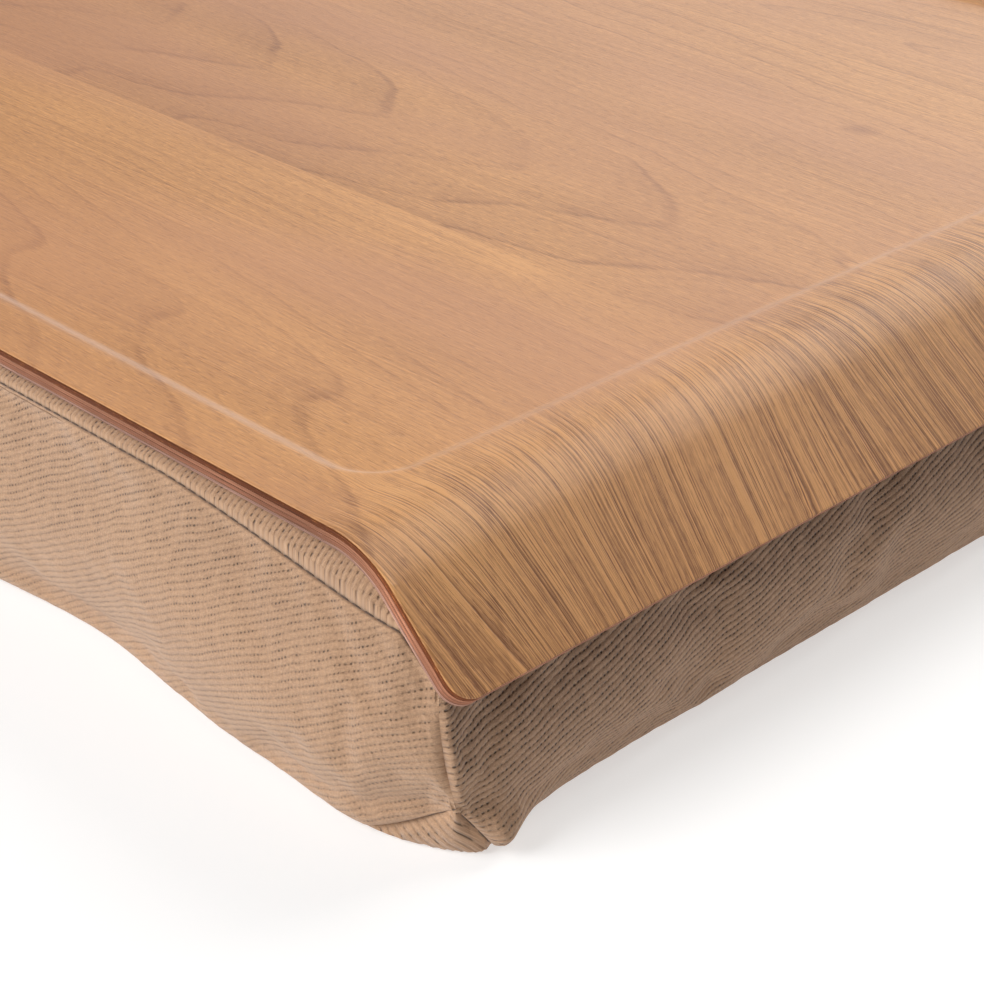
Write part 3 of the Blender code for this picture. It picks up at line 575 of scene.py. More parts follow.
def veneer_finish(name, light, dark, blush, pale, lacquer):
    """Rings, fibres and pores on the sheet's own map, under a lacquer, and a painted highlight on the step.
    """
    settings = {"Coat_Weight": lacquer, "Coat_Roughness": 0.38, "Roughness": 0.5}
    material, tree, shader = new_finish(name, Specular_IOR_Level=0.22, **settings)
    place, along, across = flat_place(tree)
    growth = named_layer(tree, "growth")
    tone_and_shade = named_layer(tree, "tone_and_shade")

    slow = grain_noise(tree, place, (11, 30, 1), 1, 0.5)
    ragged = grain_noise(tree, place, (60, 1900, 1), 2, 0.6, 3.0)
    warped = calc(tree, "MULTIPLY_ADD", slow, 0.012, growth)
    warped = calc(tree, "MULTIPLY_ADD", ragged, 0.0080, warped)
    rings = calc(tree, "FRACT", calc(tree, "DIVIDE", warped, RING_SPACING))
    rising = ranged(tree, rings, 0.85, 0.94, 0, 1, True)
    falling = ranged(tree, rings, 0.94, 0.985, 1, 0, True)
    line = calc(tree, "MULTIPLY", rising, falling)
    swelling = ranged(tree, rings, 0.30, 0.92, 0, 1, True)
    ending = ranged(tree, rings, 0.92, 1.0, 1, 0, True)
    wide = calc(tree, "MULTIPLY", swelling, ending)
    fine_rings = calc(tree, "FRACT", calc(tree, "DIVIDE", warped, RING_SPACING / FINE_RINGS))
    fine_line = ranged(tree, fine_rings, 0.45, 1.0, 0, 1, True)
    fades = ranged(tree, grain_noise(tree, place, (20, 60, 1), 2, 0.5, 7.0), 0.38, 0.60, 0.35, 1.0, True)
    figure = calc(tree, "MULTIPLY_ADD", wide, 0.15, calc(tree, "MULTIPLY", line, 0.36))
    figure = calc(tree, "MULTIPLY", calc(tree, "MULTIPLY", figure, fades), named_layer(tree, "clear"))
    figure = calc(tree, "MULTIPLY_ADD", fine_line, 0.06, figure)

    away = calc(tree, "ABSOLUTE", along)
    bent = ranged(tree, away, RECESS_HALF_X - BEND_EASE, FLAT_HALF + BEND_EASE, 0, 1, True)
    figure = calc(tree, "MULTIPLY", figure, ranged(tree, bent, 0, 1, 1.0, 0.75))
    wave = grain_noise(tree, place, (16, 30, 1), 2, 0.4, 5.0)
    wavy = calc(tree, "MULTIPLY_ADD", wave, 0.004, named_layer(tree, "fibre"))
    combine = tree.nodes.new("ShaderNodeCombineXYZ")
    feed(tree, combine.inputs[0], along)
    feed(tree, combine.inputs[1], wavy)
    followed = combine.outputs[0]
    broad = ranged(tree, grain_noise(tree, followed, (5, 420, 1), 2, 0.5, 1.0), 0.36, 0.64, -1, 1)
    streak = ranged(tree, grain_noise(tree, followed, (8, 2300, 1), 1, 0.6, 1.5), 0.38, 0.62, -1, 1)
    hair = ranged(tree, grain_noise(tree, followed, (30, 5200, 1), 1, 0.6, 2.5), 0.38, 0.62, -1, 1)
    cluster = ranged(tree, grain_noise(tree, followed, (8, 110, 1), 1, 0.5, 2.0), 0.35, 0.65, 0.30, 1.0)
    streaks = calc(tree, "MULTIPLY", calc(tree, "MULTIPLY_ADD", hair, 0.75, streak), cluster)
    streaks = calc(tree, "MULTIPLY_ADD", broad, 0.09, streaks)
    streaks = calc(tree, "MULTIPLY", streaks, ranged(tree, bent, 0, 1, 0.11, 0.50))
    dashes = grain_noise(tree, followed, (260, 2600, 1), 2, 0.6, 4.0)
    pores = ranged(tree, dashes, 0.53, 0.65, 0, 1)
    pores = calc(tree, "MULTIPLY", pores, ranged(tree, bent, 0, 1, 0.26, 0.30))
    glints = ranged(tree, grain_noise(tree, followed, (300, 2400, 1), 2, 0.6, 14.0), 0.54, 0.66, 0, 0.24)
    cloudy = ranged(tree, grain_noise(tree, place, (9, 28, 1), 3, 0.55, 9.0), 0.3, 0.7, -1, 1)

    depth = calc(tree, "MULTIPLY_ADD", figure, 0.72, 0.28)
    depth = calc(tree, "ADD", streaks, depth)
    depth = calc(tree, "ADD", depth, pores)
    depth = calc(tree, "SUBTRACT", depth, glints)
    depth = calc(tree, "MULTIPLY_ADD", cloudy, 0.10, depth)
    depth = calc(tree, "MULTIPLY_ADD", tone_and_shade, -0.5, depth, clamp=True)
    wood = mixed(tree, depth, (*light, 1), (*dark, 1))
    pink = ranged(tree, grain_noise(tree, place, (6, 16, 1), 1, 0.5, 12.0), 0.35, 0.65, 0.05, 0.5)
    pink = calc(tree, "MULTIPLY", pink, ranged(tree, bent, 0, 1, 1.0, 0.2))
    wood = mixed(tree, pink, wood, (*blush, 1))
    # Painted highlight: a pale colour along the recess's step, where the lacquer reflects the light.
    step_highlight = calc(tree, "MULTIPLY", named_layer(tree, "step"), STEP_PAINTED_HIGHLIGHT)
    wood = mixed(tree, step_highlight, wood, (*pale, 1))
    feed(tree, shader.inputs["Base Color"], wood)
    height = calc(tree, "MULTIPLY_ADD", streaks, -0.9, calc(tree, "MULTIPLY", pores, -1.6))
    rise(tree, shader, height, 0.00010)
    return material


FACE_LIGHT = (0.685, 0.338, 0.122)
FACE_DARK = (0.205, 0.070, 0.018)
FACE_BLUSH = (0.51, 0.240, 0.130)
# The next colour is that of the highlight painted on the recess's step.
FACE_STEP_HIGHLIGHT = (0.62, 0.42, 0.31)
BACK_LIGHT = (0.46, 0.26, 0.14)
BACK_DARK = (0.22, 0.11, 0.055)
BACK_BLUSH = (0.38, 0.20, 0.12)
FACE_LACQUER = 0.40
face_finish = veneer_finish("veneer", FACE_LIGHT, FACE_DARK, FACE_BLUSH, FACE_STEP_HIGHLIGHT, FACE_LACQUER)
back_finish = veneer_finish("back_veneer", BACK_LIGHT, BACK_DARK, BACK_BLUSH, BACK_LIGHT, 0.0)

# %% [markdown]
# ## The cut edge
# Seen from the side, the tray shows its layers. The upper ones are glazed dark brown where the lacquer
# has run over the cut, with orange flecks where the cutter tore the fibres. The lower ones are the
# reddish brown of a tropical ply, with thin dark glue lines between them. Each ply gets an edge finish
# of its own, laid out on the map that runs round the rim.

# %% Edge finishes


def edge_finish(name, base, fleck, fleck_share, roughness, coat):
    """A ply's cut edge: flecks a few millimetres long, and fine lines along the ply."""
    settings = {"Coat_Weight": coat, "Coat_Roughness": 0.2, "Roughness": roughness}
    material, tree, shader = new_finish(name, Specular_IOR_Level=0.1, **settings)
    place = flat_place(tree)[0]
    flecks = grain_noise(tree, place, (420, 2600, 1), 3, 0.65)
    flecks = ranged(tree, flecks, 0.66 - 0.25 * fleck_share, 0.72, 0, 1, True)
    layers = ranged(tree, grain_noise(tree, place, (60, 5200, 1), 2, 0.5, 3.0), 0.35, 0.65, 0.60, 1.30)
    slow = ranged(tree, grain_noise(tree, place, (45, 300, 1), 2, 0.5, 6.0), 0.3, 0.7, 0.8, 1.2)
    parts = tree.nodes.new("ShaderNodeSeparateXYZ")
    tree.links.new(object_place(tree), parts.inputs[0])
    out = calc(tree, "ABSOLUTE", parts.outputs[0])
    sloped = ranged(tree, out, FLAT_HALF - 0.005, FLAT_HALF + 0.018, 0.80, 1.25, True)
    shade = calc(tree, "MULTIPLY", calc(tree, "MULTIPLY", layers, slow), sloped)
    colour = mixed(tree, flecks, (*base, 1), (*fleck, 1))
    colour = mixed(tree, 1.0, colour, grey(tree, shade), "MULTIPLY")
    feed(tree, shader.inputs["Base Color"], colour)
    rise(tree, shader, layers, 0.00008)
    return material


glazed_edge = edge_finish("glazed_edge", (0.190, 0.055, 0.014), (0.60, 0.25, 0.07), 0.60, 0.5, 0.0)
dark_edge = edge_finish("dark_edge", (0.165, 0.046, 0.016), (0.44, 0.16, 0.05), 0.45, 0.5, 0.0)
red_edge = edge_finish("red_edge", (0.395, 0.170, 0.098), (0.20, 0.080, 0.055), 0.4, 0.6, 0.0)
maroon_edge = edge_finish("maroon_edge", (0.335, 0.140, 0.082), (0.40, 0.20, 0.15), 0.4, 0.6, 0.0)
pale_edge = edge_finish("pale_edge", (0.400, 0.225, 0.170), (0.26, 0.12, 0.085), 0.4, 0.6, 0.0)
print("edge finishes made")

# %% [markdown]
# ## The five plies
# Each ply is its own piece, as it is in the press. The face veneer has the finest grid, because it
# shows most; the plies inside show only at their edges.

# %% Plies
PLIES = (
    ("face_veneer", FACE_VENEER, 1.0, face_finish, glazed_edge, "veneer", "tray_face_veneer"),
    ("upper_crossply", INNER_PLY, 0.4, dark_edge, dark_edge, "crossply", "tray_upper_crossply"),
    ("core_ply", INNER_PLY, 0.4, red_edge, red_edge, "coreply", "tray_core_ply"),
    ("lower_crossply", INNER_PLY, 0.4, maroon_edge, maroon_edge, "crossply", "tray_lower_crossply"),
    ("back_veneer", FACE_VENEER, 0.6, back_finish, pale_edge, "backveneer", "tray_back_veneer"),
)


def build_plies():
    """Makes the plies from the face down, each a glue line below the last."""
    depth = 0.0
    for name, thickness, fineness, finish, edge, slot, node in PLIES:
        body = ply_body(depth, thickness, fineness, depth == 0.0)
        points, quads, flat_map, is_edge, along, across = body
        piece = add_piece(name, points, quads, [finish, edge], "tray", slot, [node], flat_map)
        piece.data.polygons.foreach_set("material_index", is_edge)
        fields = (*growth_field(along, across), tone_and_shade_field(along, across))
        fields = (*fields, fibre_field(along, across), step_field(along, across))
        for layer, values in zip(("growth", "clear", "tone_and_shade", "fibre", "step"), fields):
            add_layer(piece.data, layer, values)
        depth += thickness + GLUE_LINE


build_plies()

# %% [markdown]
# ## The cushion's shape
# The cushion is a box of cloth whose top is pressed to the tray, whose sides bulge and sag with loose
# beads, and whose corners at the floor are folded into small ears. Each of its surfaces is a formula
# that starts from the seams, because the seams are what a maker measures.

# %% Sizes of the cushion
TOUCH_GAP = 0.0003
HALF_X = TRAY_HALF - 0.0075
HALF_Y = WIDTH_HALF + 0.0005
CLOTH = 0.0008
SEAM_DROP = 0.0035
SEAM_UNDER_BEND = 0.0022
CORNER_SAG = 0.0067
CORNER_SAG_LENGTH = 0.065
CROWN_ROLL = 0.011
FRONT_BULGE = 0.006
END_BULGE = 0.003
TOE_OUT = 0.0015
WAIST_DEPTH = 0.0050
WAIST_PLACE = HALF_X - 0.112
WAIST_SPREAD = 0.036
HIP = 0.0008
HIP_PLACE = HALF_X - 0.023
HIP_SPREAD = 0.014
SOLID_SEAM_HEIGHT = 0.007
SOLID_CORNER_LIFT = 0.0065
SOLID_LIFT_SPREAD = 0.020
SEAM_FLOOR_HEIGHT = 0.0014
CORNER_SEAM_HEIGHT = 0.0132
LIFT_ALONG_FRONT = 0.0195
LIFT_ALONG_END = 0.0108
SIDE_TUCK = 0.0018
END_TUCK = 0.0047
TUCK_HEIGHT = 0.006
TOP_DRAW = 0.0022
FOOT_DRAW = 0.0062
DRAW_SPREAD = 0.013
LOBE = 0.0078
LOBE_PLACE = 0.0095
LOBE_SPREAD = 0.0074
LOBE_HEIGHT = 0.0045
BOTTOM_ROLL = 0.005
PLAN_FADE = 0.022
EAR = 0.0005
BULGE_LOW_POWER = 1.36
CORNER_POWER = 14
STRIP_LENGTH = 0.090
STRIP_WIDTH = 0.024
STRIP_THICKNESS = 0.0012
STRIP_CORNER = 0.003
STRIP_OUT_X = TRAY_HALF - 0.125
STRIP_OUT_Y = WIDTH_HALF - 0.0525
STRIP_DIP_EASE = 0.010
UNDERSIDE = TOTAL_HEIGHT - TRAY_THICKNESS
HOOK_TOP = UNDERSIDE - RECESS_DEPTH - GLUE_LINE
LOOP_TOP = HOOK_TOP - STRIP_THICKNESS - TOUCH_GAP
LOOP_SEAT = LOOP_TOP - STRIP_THICKNESS - TOUCH_GAP
INNER_BEND = BEND_RADIUS - TRAY_THICKNESS
SAG_START = HALF_X - 0.0125 - CORNER_SAG_LENGTH
COIL_SPACE = 0.0012
COIL_WIDTH = 0.0016
COIL_THICKNESS = 0.0012
WING = 0.0008
BRIDGE_WINDOW = 0.0016
TEETH_ROOM = 0.0008
ZIP_HALF = 0.150
ZIP_CLOSE_RUN = 0.010
ZIP_OPENING = COIL_SPACE + 2 * COIL_WIDTH + 2 * TEETH_ROOM
print(f"cushion {2000 * HALF_X:.0f} x {2000 * HALF_Y:.0f} mm at its top seam")

# %% Cushion formulas


def tray_underside(x):
    """Height of the tray's underside: level, then a circle of the inner bend's radius, then a slope."""
    out = np.abs(x) - FLAT_HALF
    turn = np.arcsin(np.clip(out / INNER_BEND, 0, math.sin(BEND_ANGLE)))
    slope = np.clip(out - INNER_BEND * math.sin(BEND_ANGLE), 0, None) * math.tan(BEND_ANGLE)
    return UNDERSIDE - INNER_BEND * (1 - np.cos(turn)) - slope


def recess_share(x, y):
    """1 under the recess, 0 under its border, a smooth step just outside the recess."""
    inset = np.minimum(RECESS_HALF_X + RECESS_STEP - np.abs(x), RECESS_HALF_Y + RECESS_STEP - np.abs(y))
    return smooth_step(inset / RECESS_STEP)


def strip_dip(x, y):
    """1 under the loop strips, easing to 0 over 10 mm around them."""
    past_x = np.abs(np.abs(x) - STRIP_OUT_X) - STRIP_LENGTH / 2
    past_y = np.abs(np.abs(y) - STRIP_OUT_Y) - STRIP_WIDTH / 2
    return 1 - smooth_step(np.maximum(past_x, past_y) / STRIP_DIP_EASE)


def roll(inset, width):
    """1 at an edge, 0 from a width inside it, as a quarter of an ellipse: 1 - sqrt(1 - s^2)."""
    outside = np.clip(1 - inset / width, 0, 1)
    return 1 - np.sqrt(1 - outside ** 2)


def top_seam_height(x):
    """Height of the seam along the front and the back: level, sagging towards the corners."""
    sag = CORNER_SAG * np.clip((np.abs(x) - SAG_START) / CORNER_SAG_LENGTH, 0, None) ** 1.3
    level = UNDERSIDE - TOUCH_GAP - SEAM_DROP - sag
    return np.minimum(level, tray_underside(x) - TOUCH_GAP - SEAM_UNDER_BEND)


def top_height(x, y):
    """The cushion's top: pressed to the tray, dipped at the strips, rolled off at the edges."""
    crown = tray_underside(x) - TOUCH_GAP
    pressed = crown - RECESS_DEPTH * recess_share(x, y)
    dipped = pressed + (LOOP_SEAT - pressed) * strip_dip(x, y)
    side_drop = (crown - top_seam_height(x)) * roll(HALF_Y - np.abs(y), CROWN_ROLL)
    end_drop = SEAM_UNDER_BEND * roll(HALF_X - np.abs(x), CROWN_ROLL)
    return dipped - np.maximum(side_drop, end_drop)


def solid_seam_height(x, y):
    """Height at which a side's bulge ends: 7 mm, lifted at the corners as exp(-(away / 20 mm)^2)."""
    away = np.hypot(HALF_X - np.abs(x), HALF_Y - np.abs(y))
    return SOLID_SEAM_HEIGHT + SOLID_CORNER_LIFT * np.exp(-(away / SOLID_LIFT_SPREAD) ** 2)


def lift(place, half, distance):
    """1 at a corner, falling along a side as (1 - away / distance)^1.25."""
    return np.clip(1 - (half - np.abs(place)) / distance, 0, 1) ** 1.25


def corner_fade(place, half):
    """1 along most of a side, 0 at its corners: sqrt(1 - (place / half)^14)."""
    return np.sqrt(np.clip(1 - (np.abs(place) / half) ** CORNER_POWER, 0, 1))


def waist(x):
    """How far the front's foot is drawn in, most at 110 mm from the middle, less a hip near the corner."""
    drawn = WAIST_DEPTH * np.exp(-((np.abs(x) - WAIST_PLACE) / WAIST_SPREAD) ** 2)
    hip = HIP * np.exp(-((np.abs(x) - HIP_PLACE) / HIP_SPREAD) ** 2)
    return (drawn - hip) * corner_fade(x, HALF_X)


def front_out(x, t):
    """How far the front stands out: a low bulge, plus the toe, less the waist, t from top to bottom."""
    bulge = FRONT_BULGE * corner_fade(x, HALF_X) * np.sin(math.pi * t ** BULGE_LOW_POWER)
    return bulge + TOE_OUT * t - waist(x) * t


def end_out(y, t):
    """How far an end stands out."""
    return END_BULGE * corner_fade(y, HALF_Y) * np.sin(math.pi * t ** BULGE_LOW_POWER) + TOE_OUT * t


ZIP_PARTS_OUT = COIL_THICKNESS - CLOTH + TOUCH_GAP + WING + BRIDGE_WINDOW + WING
FRONT_REACH = HALF_Y + float(np.max(front_out(np.array([0.0]), np.linspace(0, 1, 101))))
ZIP_FACE = FRONT_REACH - ZIP_PARTS_OUT
BACK_BULGE = ZIP_FACE - HALF_Y - TOE_OUT / 2
SIDE_TOP = UNDERSIDE - TOUCH_GAP - SEAM_DROP
ZIP_HEIGHT = (SIDE_TOP + SOLID_SEAM_HEIGHT) / 2


def back_out(x, t):
    """How far the back stands out: a plain bulge, so that the zip runs straight."""
    return BACK_BULGE * corner_fade(x, HALF_X) * np.sin(math.pi * t) + TOE_OUT * t


def drawn_in(x, y, t):
    """How far the corners are drawn in across the cushion, a little at the top and more at the foot."""
    near = np.exp(-((HALF_X - np.abs(x)) / DRAW_SPREAD) ** 2 - ((HALF_Y - np.abs(y)) / DRAW_SPREAD) ** 2)
    return near * (TOP_DRAW * (1 - t) ** 2 + FOOT_DRAW * t ** 1.35)


def tucked(height, low, share):
    """Share by which a side turns under above its bottom seam: a quarter ellipse over its last 6 mm."""
    return share * roll(height - low, TUCK_HEIGHT)


def side_surface(side, places, heights):
    """The front, back, right or left side over places along it, at heights that heights(high, low) gives.

    The bulge ends where the solid's seam lies; below that the side turns under to its real seam, which
    lies on the floor but for the corners. At a corner both sides have the same places and heights. Near
    each corner an end's foot swells out in a lobe.
    """
    along_x = side in ("front", "back")
    half = HALF_X if along_x else HALF_Y
    sign = 1 if side in ("back", "right") else -1
    edge = top_seam_height(places if along_x else np.full_like(places, HALF_X))
    raised = lift(places, half, LIFT_ALONG_FRONT if along_x else LIFT_ALONG_END)
    low = SEAM_FLOOR_HEIGHT + (CORNER_SEAM_HEIGHT - SEAM_FLOOR_HEIGHT) * raised
    z = heights(edge[:, None], low[:, None])
    place = np.broadcast_to(places[:, None], z.shape)
    solid_low = solid_seam_height(place, HALF_Y) if along_x else solid_seam_height(HALF_X, place)
    t = np.clip((edge[:, None] - z) / (edge[:, None] - solid_low), 0, 1)
    under = tucked(z, low[:, None], 1 - raised[:, None])
    toe = np.sign(place) * TOE_OUT * t * (np.abs(place) / half) ** CORNER_POWER
    if along_x:
        out = front_out(place, t) if side == "front" else back_out(place, t)
        stand = HALF_Y + out - SIDE_TUCK * under - drawn_in(place, HALF_Y, t)
        return np.stack([place + toe, sign * stand, z], axis=-1)
    away = (half - np.abs(place) - LOBE_PLACE) / LOBE_SPREAD
    lobe = np.where(away < 0, np.exp(-away ** 2), np.exp(1 - np.sqrt(1 + away ** 2)))
    lobe = lobe * corner_fade(place, half)
    lobe = LOBE * lobe * np.exp(-((z - LOBE_HEIGHT) / (2 * LOBE_HEIGHT)) ** 2)
    stand = HALF_X + end_out(place, t) - END_TUCK * under + lobe
    return np.stack([sign * stand, place + toe - np.sign(place) * drawn_in(HALF_X, place, t), z], axis=-1)


SIDES = ("front", "back", "right", "left")


def by_share(shares):
    """Heights at given shares of the way from a side's top seam to its bottom one."""
    return lambda high, low: high + (low - high) * shares[None, :]


def top_surface(xs, ys):
    """The top panel as a grid, its corners drawn in as the sides' upper edges are."""
    x, y = np.meshgrid(xs, ys, indexing="ij")
    return np.stack([x, y - np.sign(y) * drawn_in(x, y, 0.0), top_height(x, y)], axis=-1)


def bottom_height(xs, ys):
    """Height of the bottom panel above the floor: a low roll at its edges and a puffed, rounded corner.

    With a and b the insets from the two edges over their own lift lengths, the corner's height falls as
    1 - (sqrt(a) + sqrt(b))^2. Its level lines are parabolas that touch both edges, so the corner grows
    rounder towards the floor.
    """
    inset_x, inset_y = (HALF_X - np.abs(xs))[:, None], (HALF_Y - np.abs(ys))[None, :]
    share_x = np.sqrt(np.maximum(inset_x, 0) / LIFT_ALONG_FRONT)
    share_y = np.sqrt(np.maximum(inset_y, 0) / LIFT_ALONG_END)
    reach = share_x + share_y
    corner = (CORNER_SEAM_HEIGHT - SEAM_FLOOR_HEIGHT) * np.clip(1 - reach ** 2, 0, 1) ** 1.25
    return corner + SEAM_FLOOR_HEIGHT * roll(np.minimum(inset_x, inset_y), BOTTOM_ROLL), corner


def bottom_surface(xs, ys):
    """The bottom panel as a grid that meets the four sides' lower edges and lies flat in its middle.

    In plan, each edge's shift from the flat rectangle fades inwards as (1 - inset / 22 mm)^2, and where
    two edges meet, the corner's own shift is taken off once. The corners swell out under their seams.
    """
    lowest = by_share(np.array([1.0]))
    edges = {}
    for side in SIDES:
        places = xs if side in ("front", "back") else ys
        edges[side] = side_surface(side, places, lowest)[:, 0]
    x, y = np.meshgrid(xs, ys, indexing="ij")
    height, corner = bottom_height(xs, ys)
    result = np.stack([x, y, height], axis=-1)
    fade_x = np.clip(1 - (HALF_X - np.abs(xs)) / PLAN_FADE, 0, 1)[:, None] ** 2
    fade_y = np.clip(1 - (HALF_Y - np.abs(ys)) / PLAN_FADE, 0, 1)[None, :] ** 2
    right, back = xs[:, None] > 0, ys[None, :] > 0
    for axis in (0, 1):
        ends = np.where(right, edges["right"][None, :, axis], edges["left"][None, :, axis])
        ends = ends - (np.sign(xs)[:, None] * HALF_X if axis == 0 else ys[None, :])
        sides = np.where(back, edges["back"][:, None, axis], edges["front"][:, None, axis])
        sides = sides - (np.sign(ys)[None, :] * HALF_Y if axis == 1 else xs[:, None])
        nearest = np.where(right, sides[-1:, :], sides[:1, :])
        result[..., axis] += ends * fade_x + sides * fade_y - nearest * fade_x * fade_y
    puff = EAR * 4 * corner * (CORNER_SEAM_HEIGHT - corner) / CORNER_SEAM_HEIGHT ** 2
    puff = puff * (1 - fade_x ** 8) * (1 - fade_y ** 8)
    result[..., 0] += np.sign(x) * puff
    result[..., 1] += 0.8 * np.sign(y) * puff
    return result


# %% [markdown]
# ## Blowing the cover up
# Cloth that is sewn over loose beads is never quite even: it swells between its seams and buckles a
# little beside them. Painting that by hand looks painted, so a cloth simulation does it. A coarse closed
# skin of all six sides is held along its seams, where it rests on the floor and where the tray presses
# on it. A slight pressure and a little more than one percent of extra cloth do the rest. Only how far
# each point moved is kept, and it is laid over the fine surfaces with a smooth curve through the coarse
# values.

# %% Cloth simulation
COARSE_X = 34
COARSE_Y = 28
COARSE_T = 12
CROWDING = 0.8
MOST_SWELL = 0.0010
FRAMES = 20
ON_FLOOR = 0.0004
BESIDE_ZIP = 0.007


def wall_shares(count):
    """Shares of a side's height, crowded a little at both seams: (1 - cos(pi s)) / 2 mixed with s."""
    even = np.linspace(0, 1, count)
    return 0.6 * even + 0.4 * (1 - np.cos(math.pi * even)) / 2


def coarse_surfaces():
    """The six sides as coarse grids, in a fixed order."""
    xs = blended_stations(HALF_X, COARSE_X, CROWDING)
    ys = blended_stations(HALF_Y, COARSE_Y, CROWDING)
    shares = wall_shares(COARSE_T + 1)
    grids = {"top": top_surface(xs, ys), "bottom": bottom_surface(xs, ys)}
    for side in SIDES:
        grids[side] = side_surface(side, xs if side in ("front", "back") else ys, by_share(shares))
    return grids


def welded(grids):
    """One closed skin from the grids: points that share a place to 0.01 mm become one."""
    flipped = {"top": False, "bottom": True, "front": True, "back": False, "right": True, "left": False}
    points = np.concatenate([grid.reshape(-1, 3) for grid in grids.values()])
    _, first, number = np.unique(np.round(points, 5), axis=0, return_index=True, return_inverse=True)
    number = number.ravel()
    cells, start = [], 0
    for name, grid in grids.items():
        quads = number[grid_quads(*grid.shape[:2]) + start]
        cells.append(quads[:, ::-1] if flipped[name] else quads)
        start += grid.shape[0] * grid.shape[1]
    return points[first], np.concatenate(cells), number


def held_points(grids):
    """True for grid points that the seams, the floor or the tray hold in place."""
    held = []
    for name, grid in grids.items():
        mask = np.zeros(grid.shape[:2], bool)
        mask[[0, -1]] = True
        mask[:, [0, -1]] = True
        if name == "top":
            mask[:] = True
        if name == "bottom":
            mask |= grid[..., 2] < ON_FLOOR
        if name == "back":
            mask |= np.abs(grid[..., 2] - ZIP_HEIGHT) < BESIDE_ZIP
        held.append(mask.ravel())
    return np.concatenate(held)


def simulated_shift(points, quads, held):
    """How far each point moved after 20 frames of Cloth under pressure, with gravity off."""
    mesh = bpy.data.meshes.new("skin")
    mesh.from_pydata(points, [], quads)
    skin = placed("skin", mesh)
    skin.vertex_groups.new(name="held").add(np.flatnonzero(held).tolist(), 1.0, "REPLACE")
    cloth = skin.modifiers.new("cloth", "CLOTH")
    settings = cloth.settings
    settings.quality = 6
    settings.mass = 0.2
    settings.vertex_group_mass = "held"
    settings.tension_stiffness = 25
    settings.compression_stiffness = 25
    settings.shear_stiffness = 12
    settings.bending_stiffness = 0.8
    settings.shrink_min = -0.012
    settings.use_pressure = True
    settings.uniform_pressure_force = 4
    settings.effector_weights.gravity = 0
    scene = bpy.context.scene
    cloth.point_cache.frame_start = 1
    cloth.point_cache.frame_end = FRAMES
    for number in range(1, FRAMES + 1):
        scene.frame_set(number)
    shown = skin.evaluated_get(bpy.context.evaluated_depsgraph_get())
    moved = np.empty(points.size)
    shown.data.vertices.foreach_get("co", moved)
    scene.frame_set(1)
    bpy.data.objects.remove(skin, do_unlink=True)
    return moved.reshape(-1, 3) - points


def capped(shift, most):
    """Shortens each shift s smoothly so that it stays under a limit m: m tanh(s / m)."""
    size = np.linalg.norm(shift, axis=-1, keepdims=True)
    return shift * most * np.tanh(size / most) / np.maximum(size, 1e-9)


def swell_of_cover():
    grids = coarse_surfaces()
    points, quads, number = welded(grids)
    held = np.zeros(len(points), bool)
    held[number[held_points(grids)]] = True
    shift = capped(simulated_shift(points, outward(points, quads), held), MOST_SWELL)
    swell, start = {}, 0
    for name, grid in grids.items():
        count = grid.shape[0] * grid.shape[1]
        swell[name] = shift[number[start:start + count]].reshape(grid.shape)
        start += count
    size = 1000 * np.linalg.norm(shift, axis=1)
    print(f"cloth: {len(points)} points moved up to {size.max():.2f} mm, {size.mean():.2f} on average")
    return swell


def cubic_weights(places, count):
    """Weights that carry coarse values to fine places by a cubic through four neighbours.

    With s the distance in cells, the weight is 1.5 s^3 - 2.5 s^2 + 1 up to one cell away and
    -0.5 s^3 + 2.5 s^2 - 4 s + 2 up to two. Places beyond an end take the end's own value.
    """
    cell = np.clip(places, 0, 1)[:, None] * (count - 1)
    away = np.abs(cell - np.arange(-1, count + 1)[None, :])
    near = 1.5 * away ** 3 - 2.5 * away ** 2 + 1
    far = -0.5 * away ** 3 + 2.5 * away ** 2 - 4 * away + 2
    weights = np.where(away < 1, near, np.where(away < 2, far, 0.0))
    weights[:, 1] += weights[:, 0]
    weights[:, -2] += weights[:, -1]
    return weights[:, 1:-1]


def refined(coarse, rows, columns):
    """A coarse grid of shifts at finer shares along its rows and columns."""
    across = cubic_weights(rows, coarse.shape[0])
    down = cubic_weights(columns, coarse.shape[1])
    return np.einsum("ai,bj,ijk->abk", across, down, coarse)


cover_swell = swell_of_cover()

# %% [markdown]
# ## Seams
# Where two panels are sewn, their edges are turned in. From outside one sees two soft lips and a dark
# line between them, and the cloth puckers a little beside the stitches. Each panel's grid is carried
# past its seam by a few rows: they dive into the cushion as the real seam allowance does, so that no
# gap can be seen through.

# %% Seam functions
LIP_DEPTH = 0.0006
LIP_WIDTH = 0.0010
ALLOWANCE = 0.003
ALLOWANCE_ROWS = 3
PUCKER = 0.00011
CREASE_WIDTH = 0.0014
TRIM_LENGTH = 0.006
TRIM_LEFT = 0.12
CORNER_LIP = 0.4
PUCKER_REACH = 0.002
PUCKER_LENGTH = 0.009
WRINKLE = 0.6
WRINKLE_REACH = 0.006
WRINKLE_LENGTH = 0.021
HUMP_REACH = 0.0022


def lip(inset):
    """Share of the lip's depth at a distance inside the seam: 1 - sqrt(1 - s^2) near it, growing past it."""
    past = np.clip(-inset, 0, None) / LIP_DEPTH * math.sqrt(2)
    return roll(np.maximum(inset, 0), LIP_WIDTH) + past


def beside(inset, distance):
    """A hump beside a seam, 0 at it and 1 a distance inside it: r e^(1 - r)."""
    reach = np.clip(inset, 0, None) / distance
    return reach * np.exp(1 - reach)


def padded_rows(grid, axis):
    """Repeats a grid's border for the rows of the seam allowance."""
    width = [(0, 0)] * grid.ndim
    width[axis] = (ALLOWANCE_ROWS, ALLOWANCE_ROWS)
    return np.pad(grid, width, mode="edge")


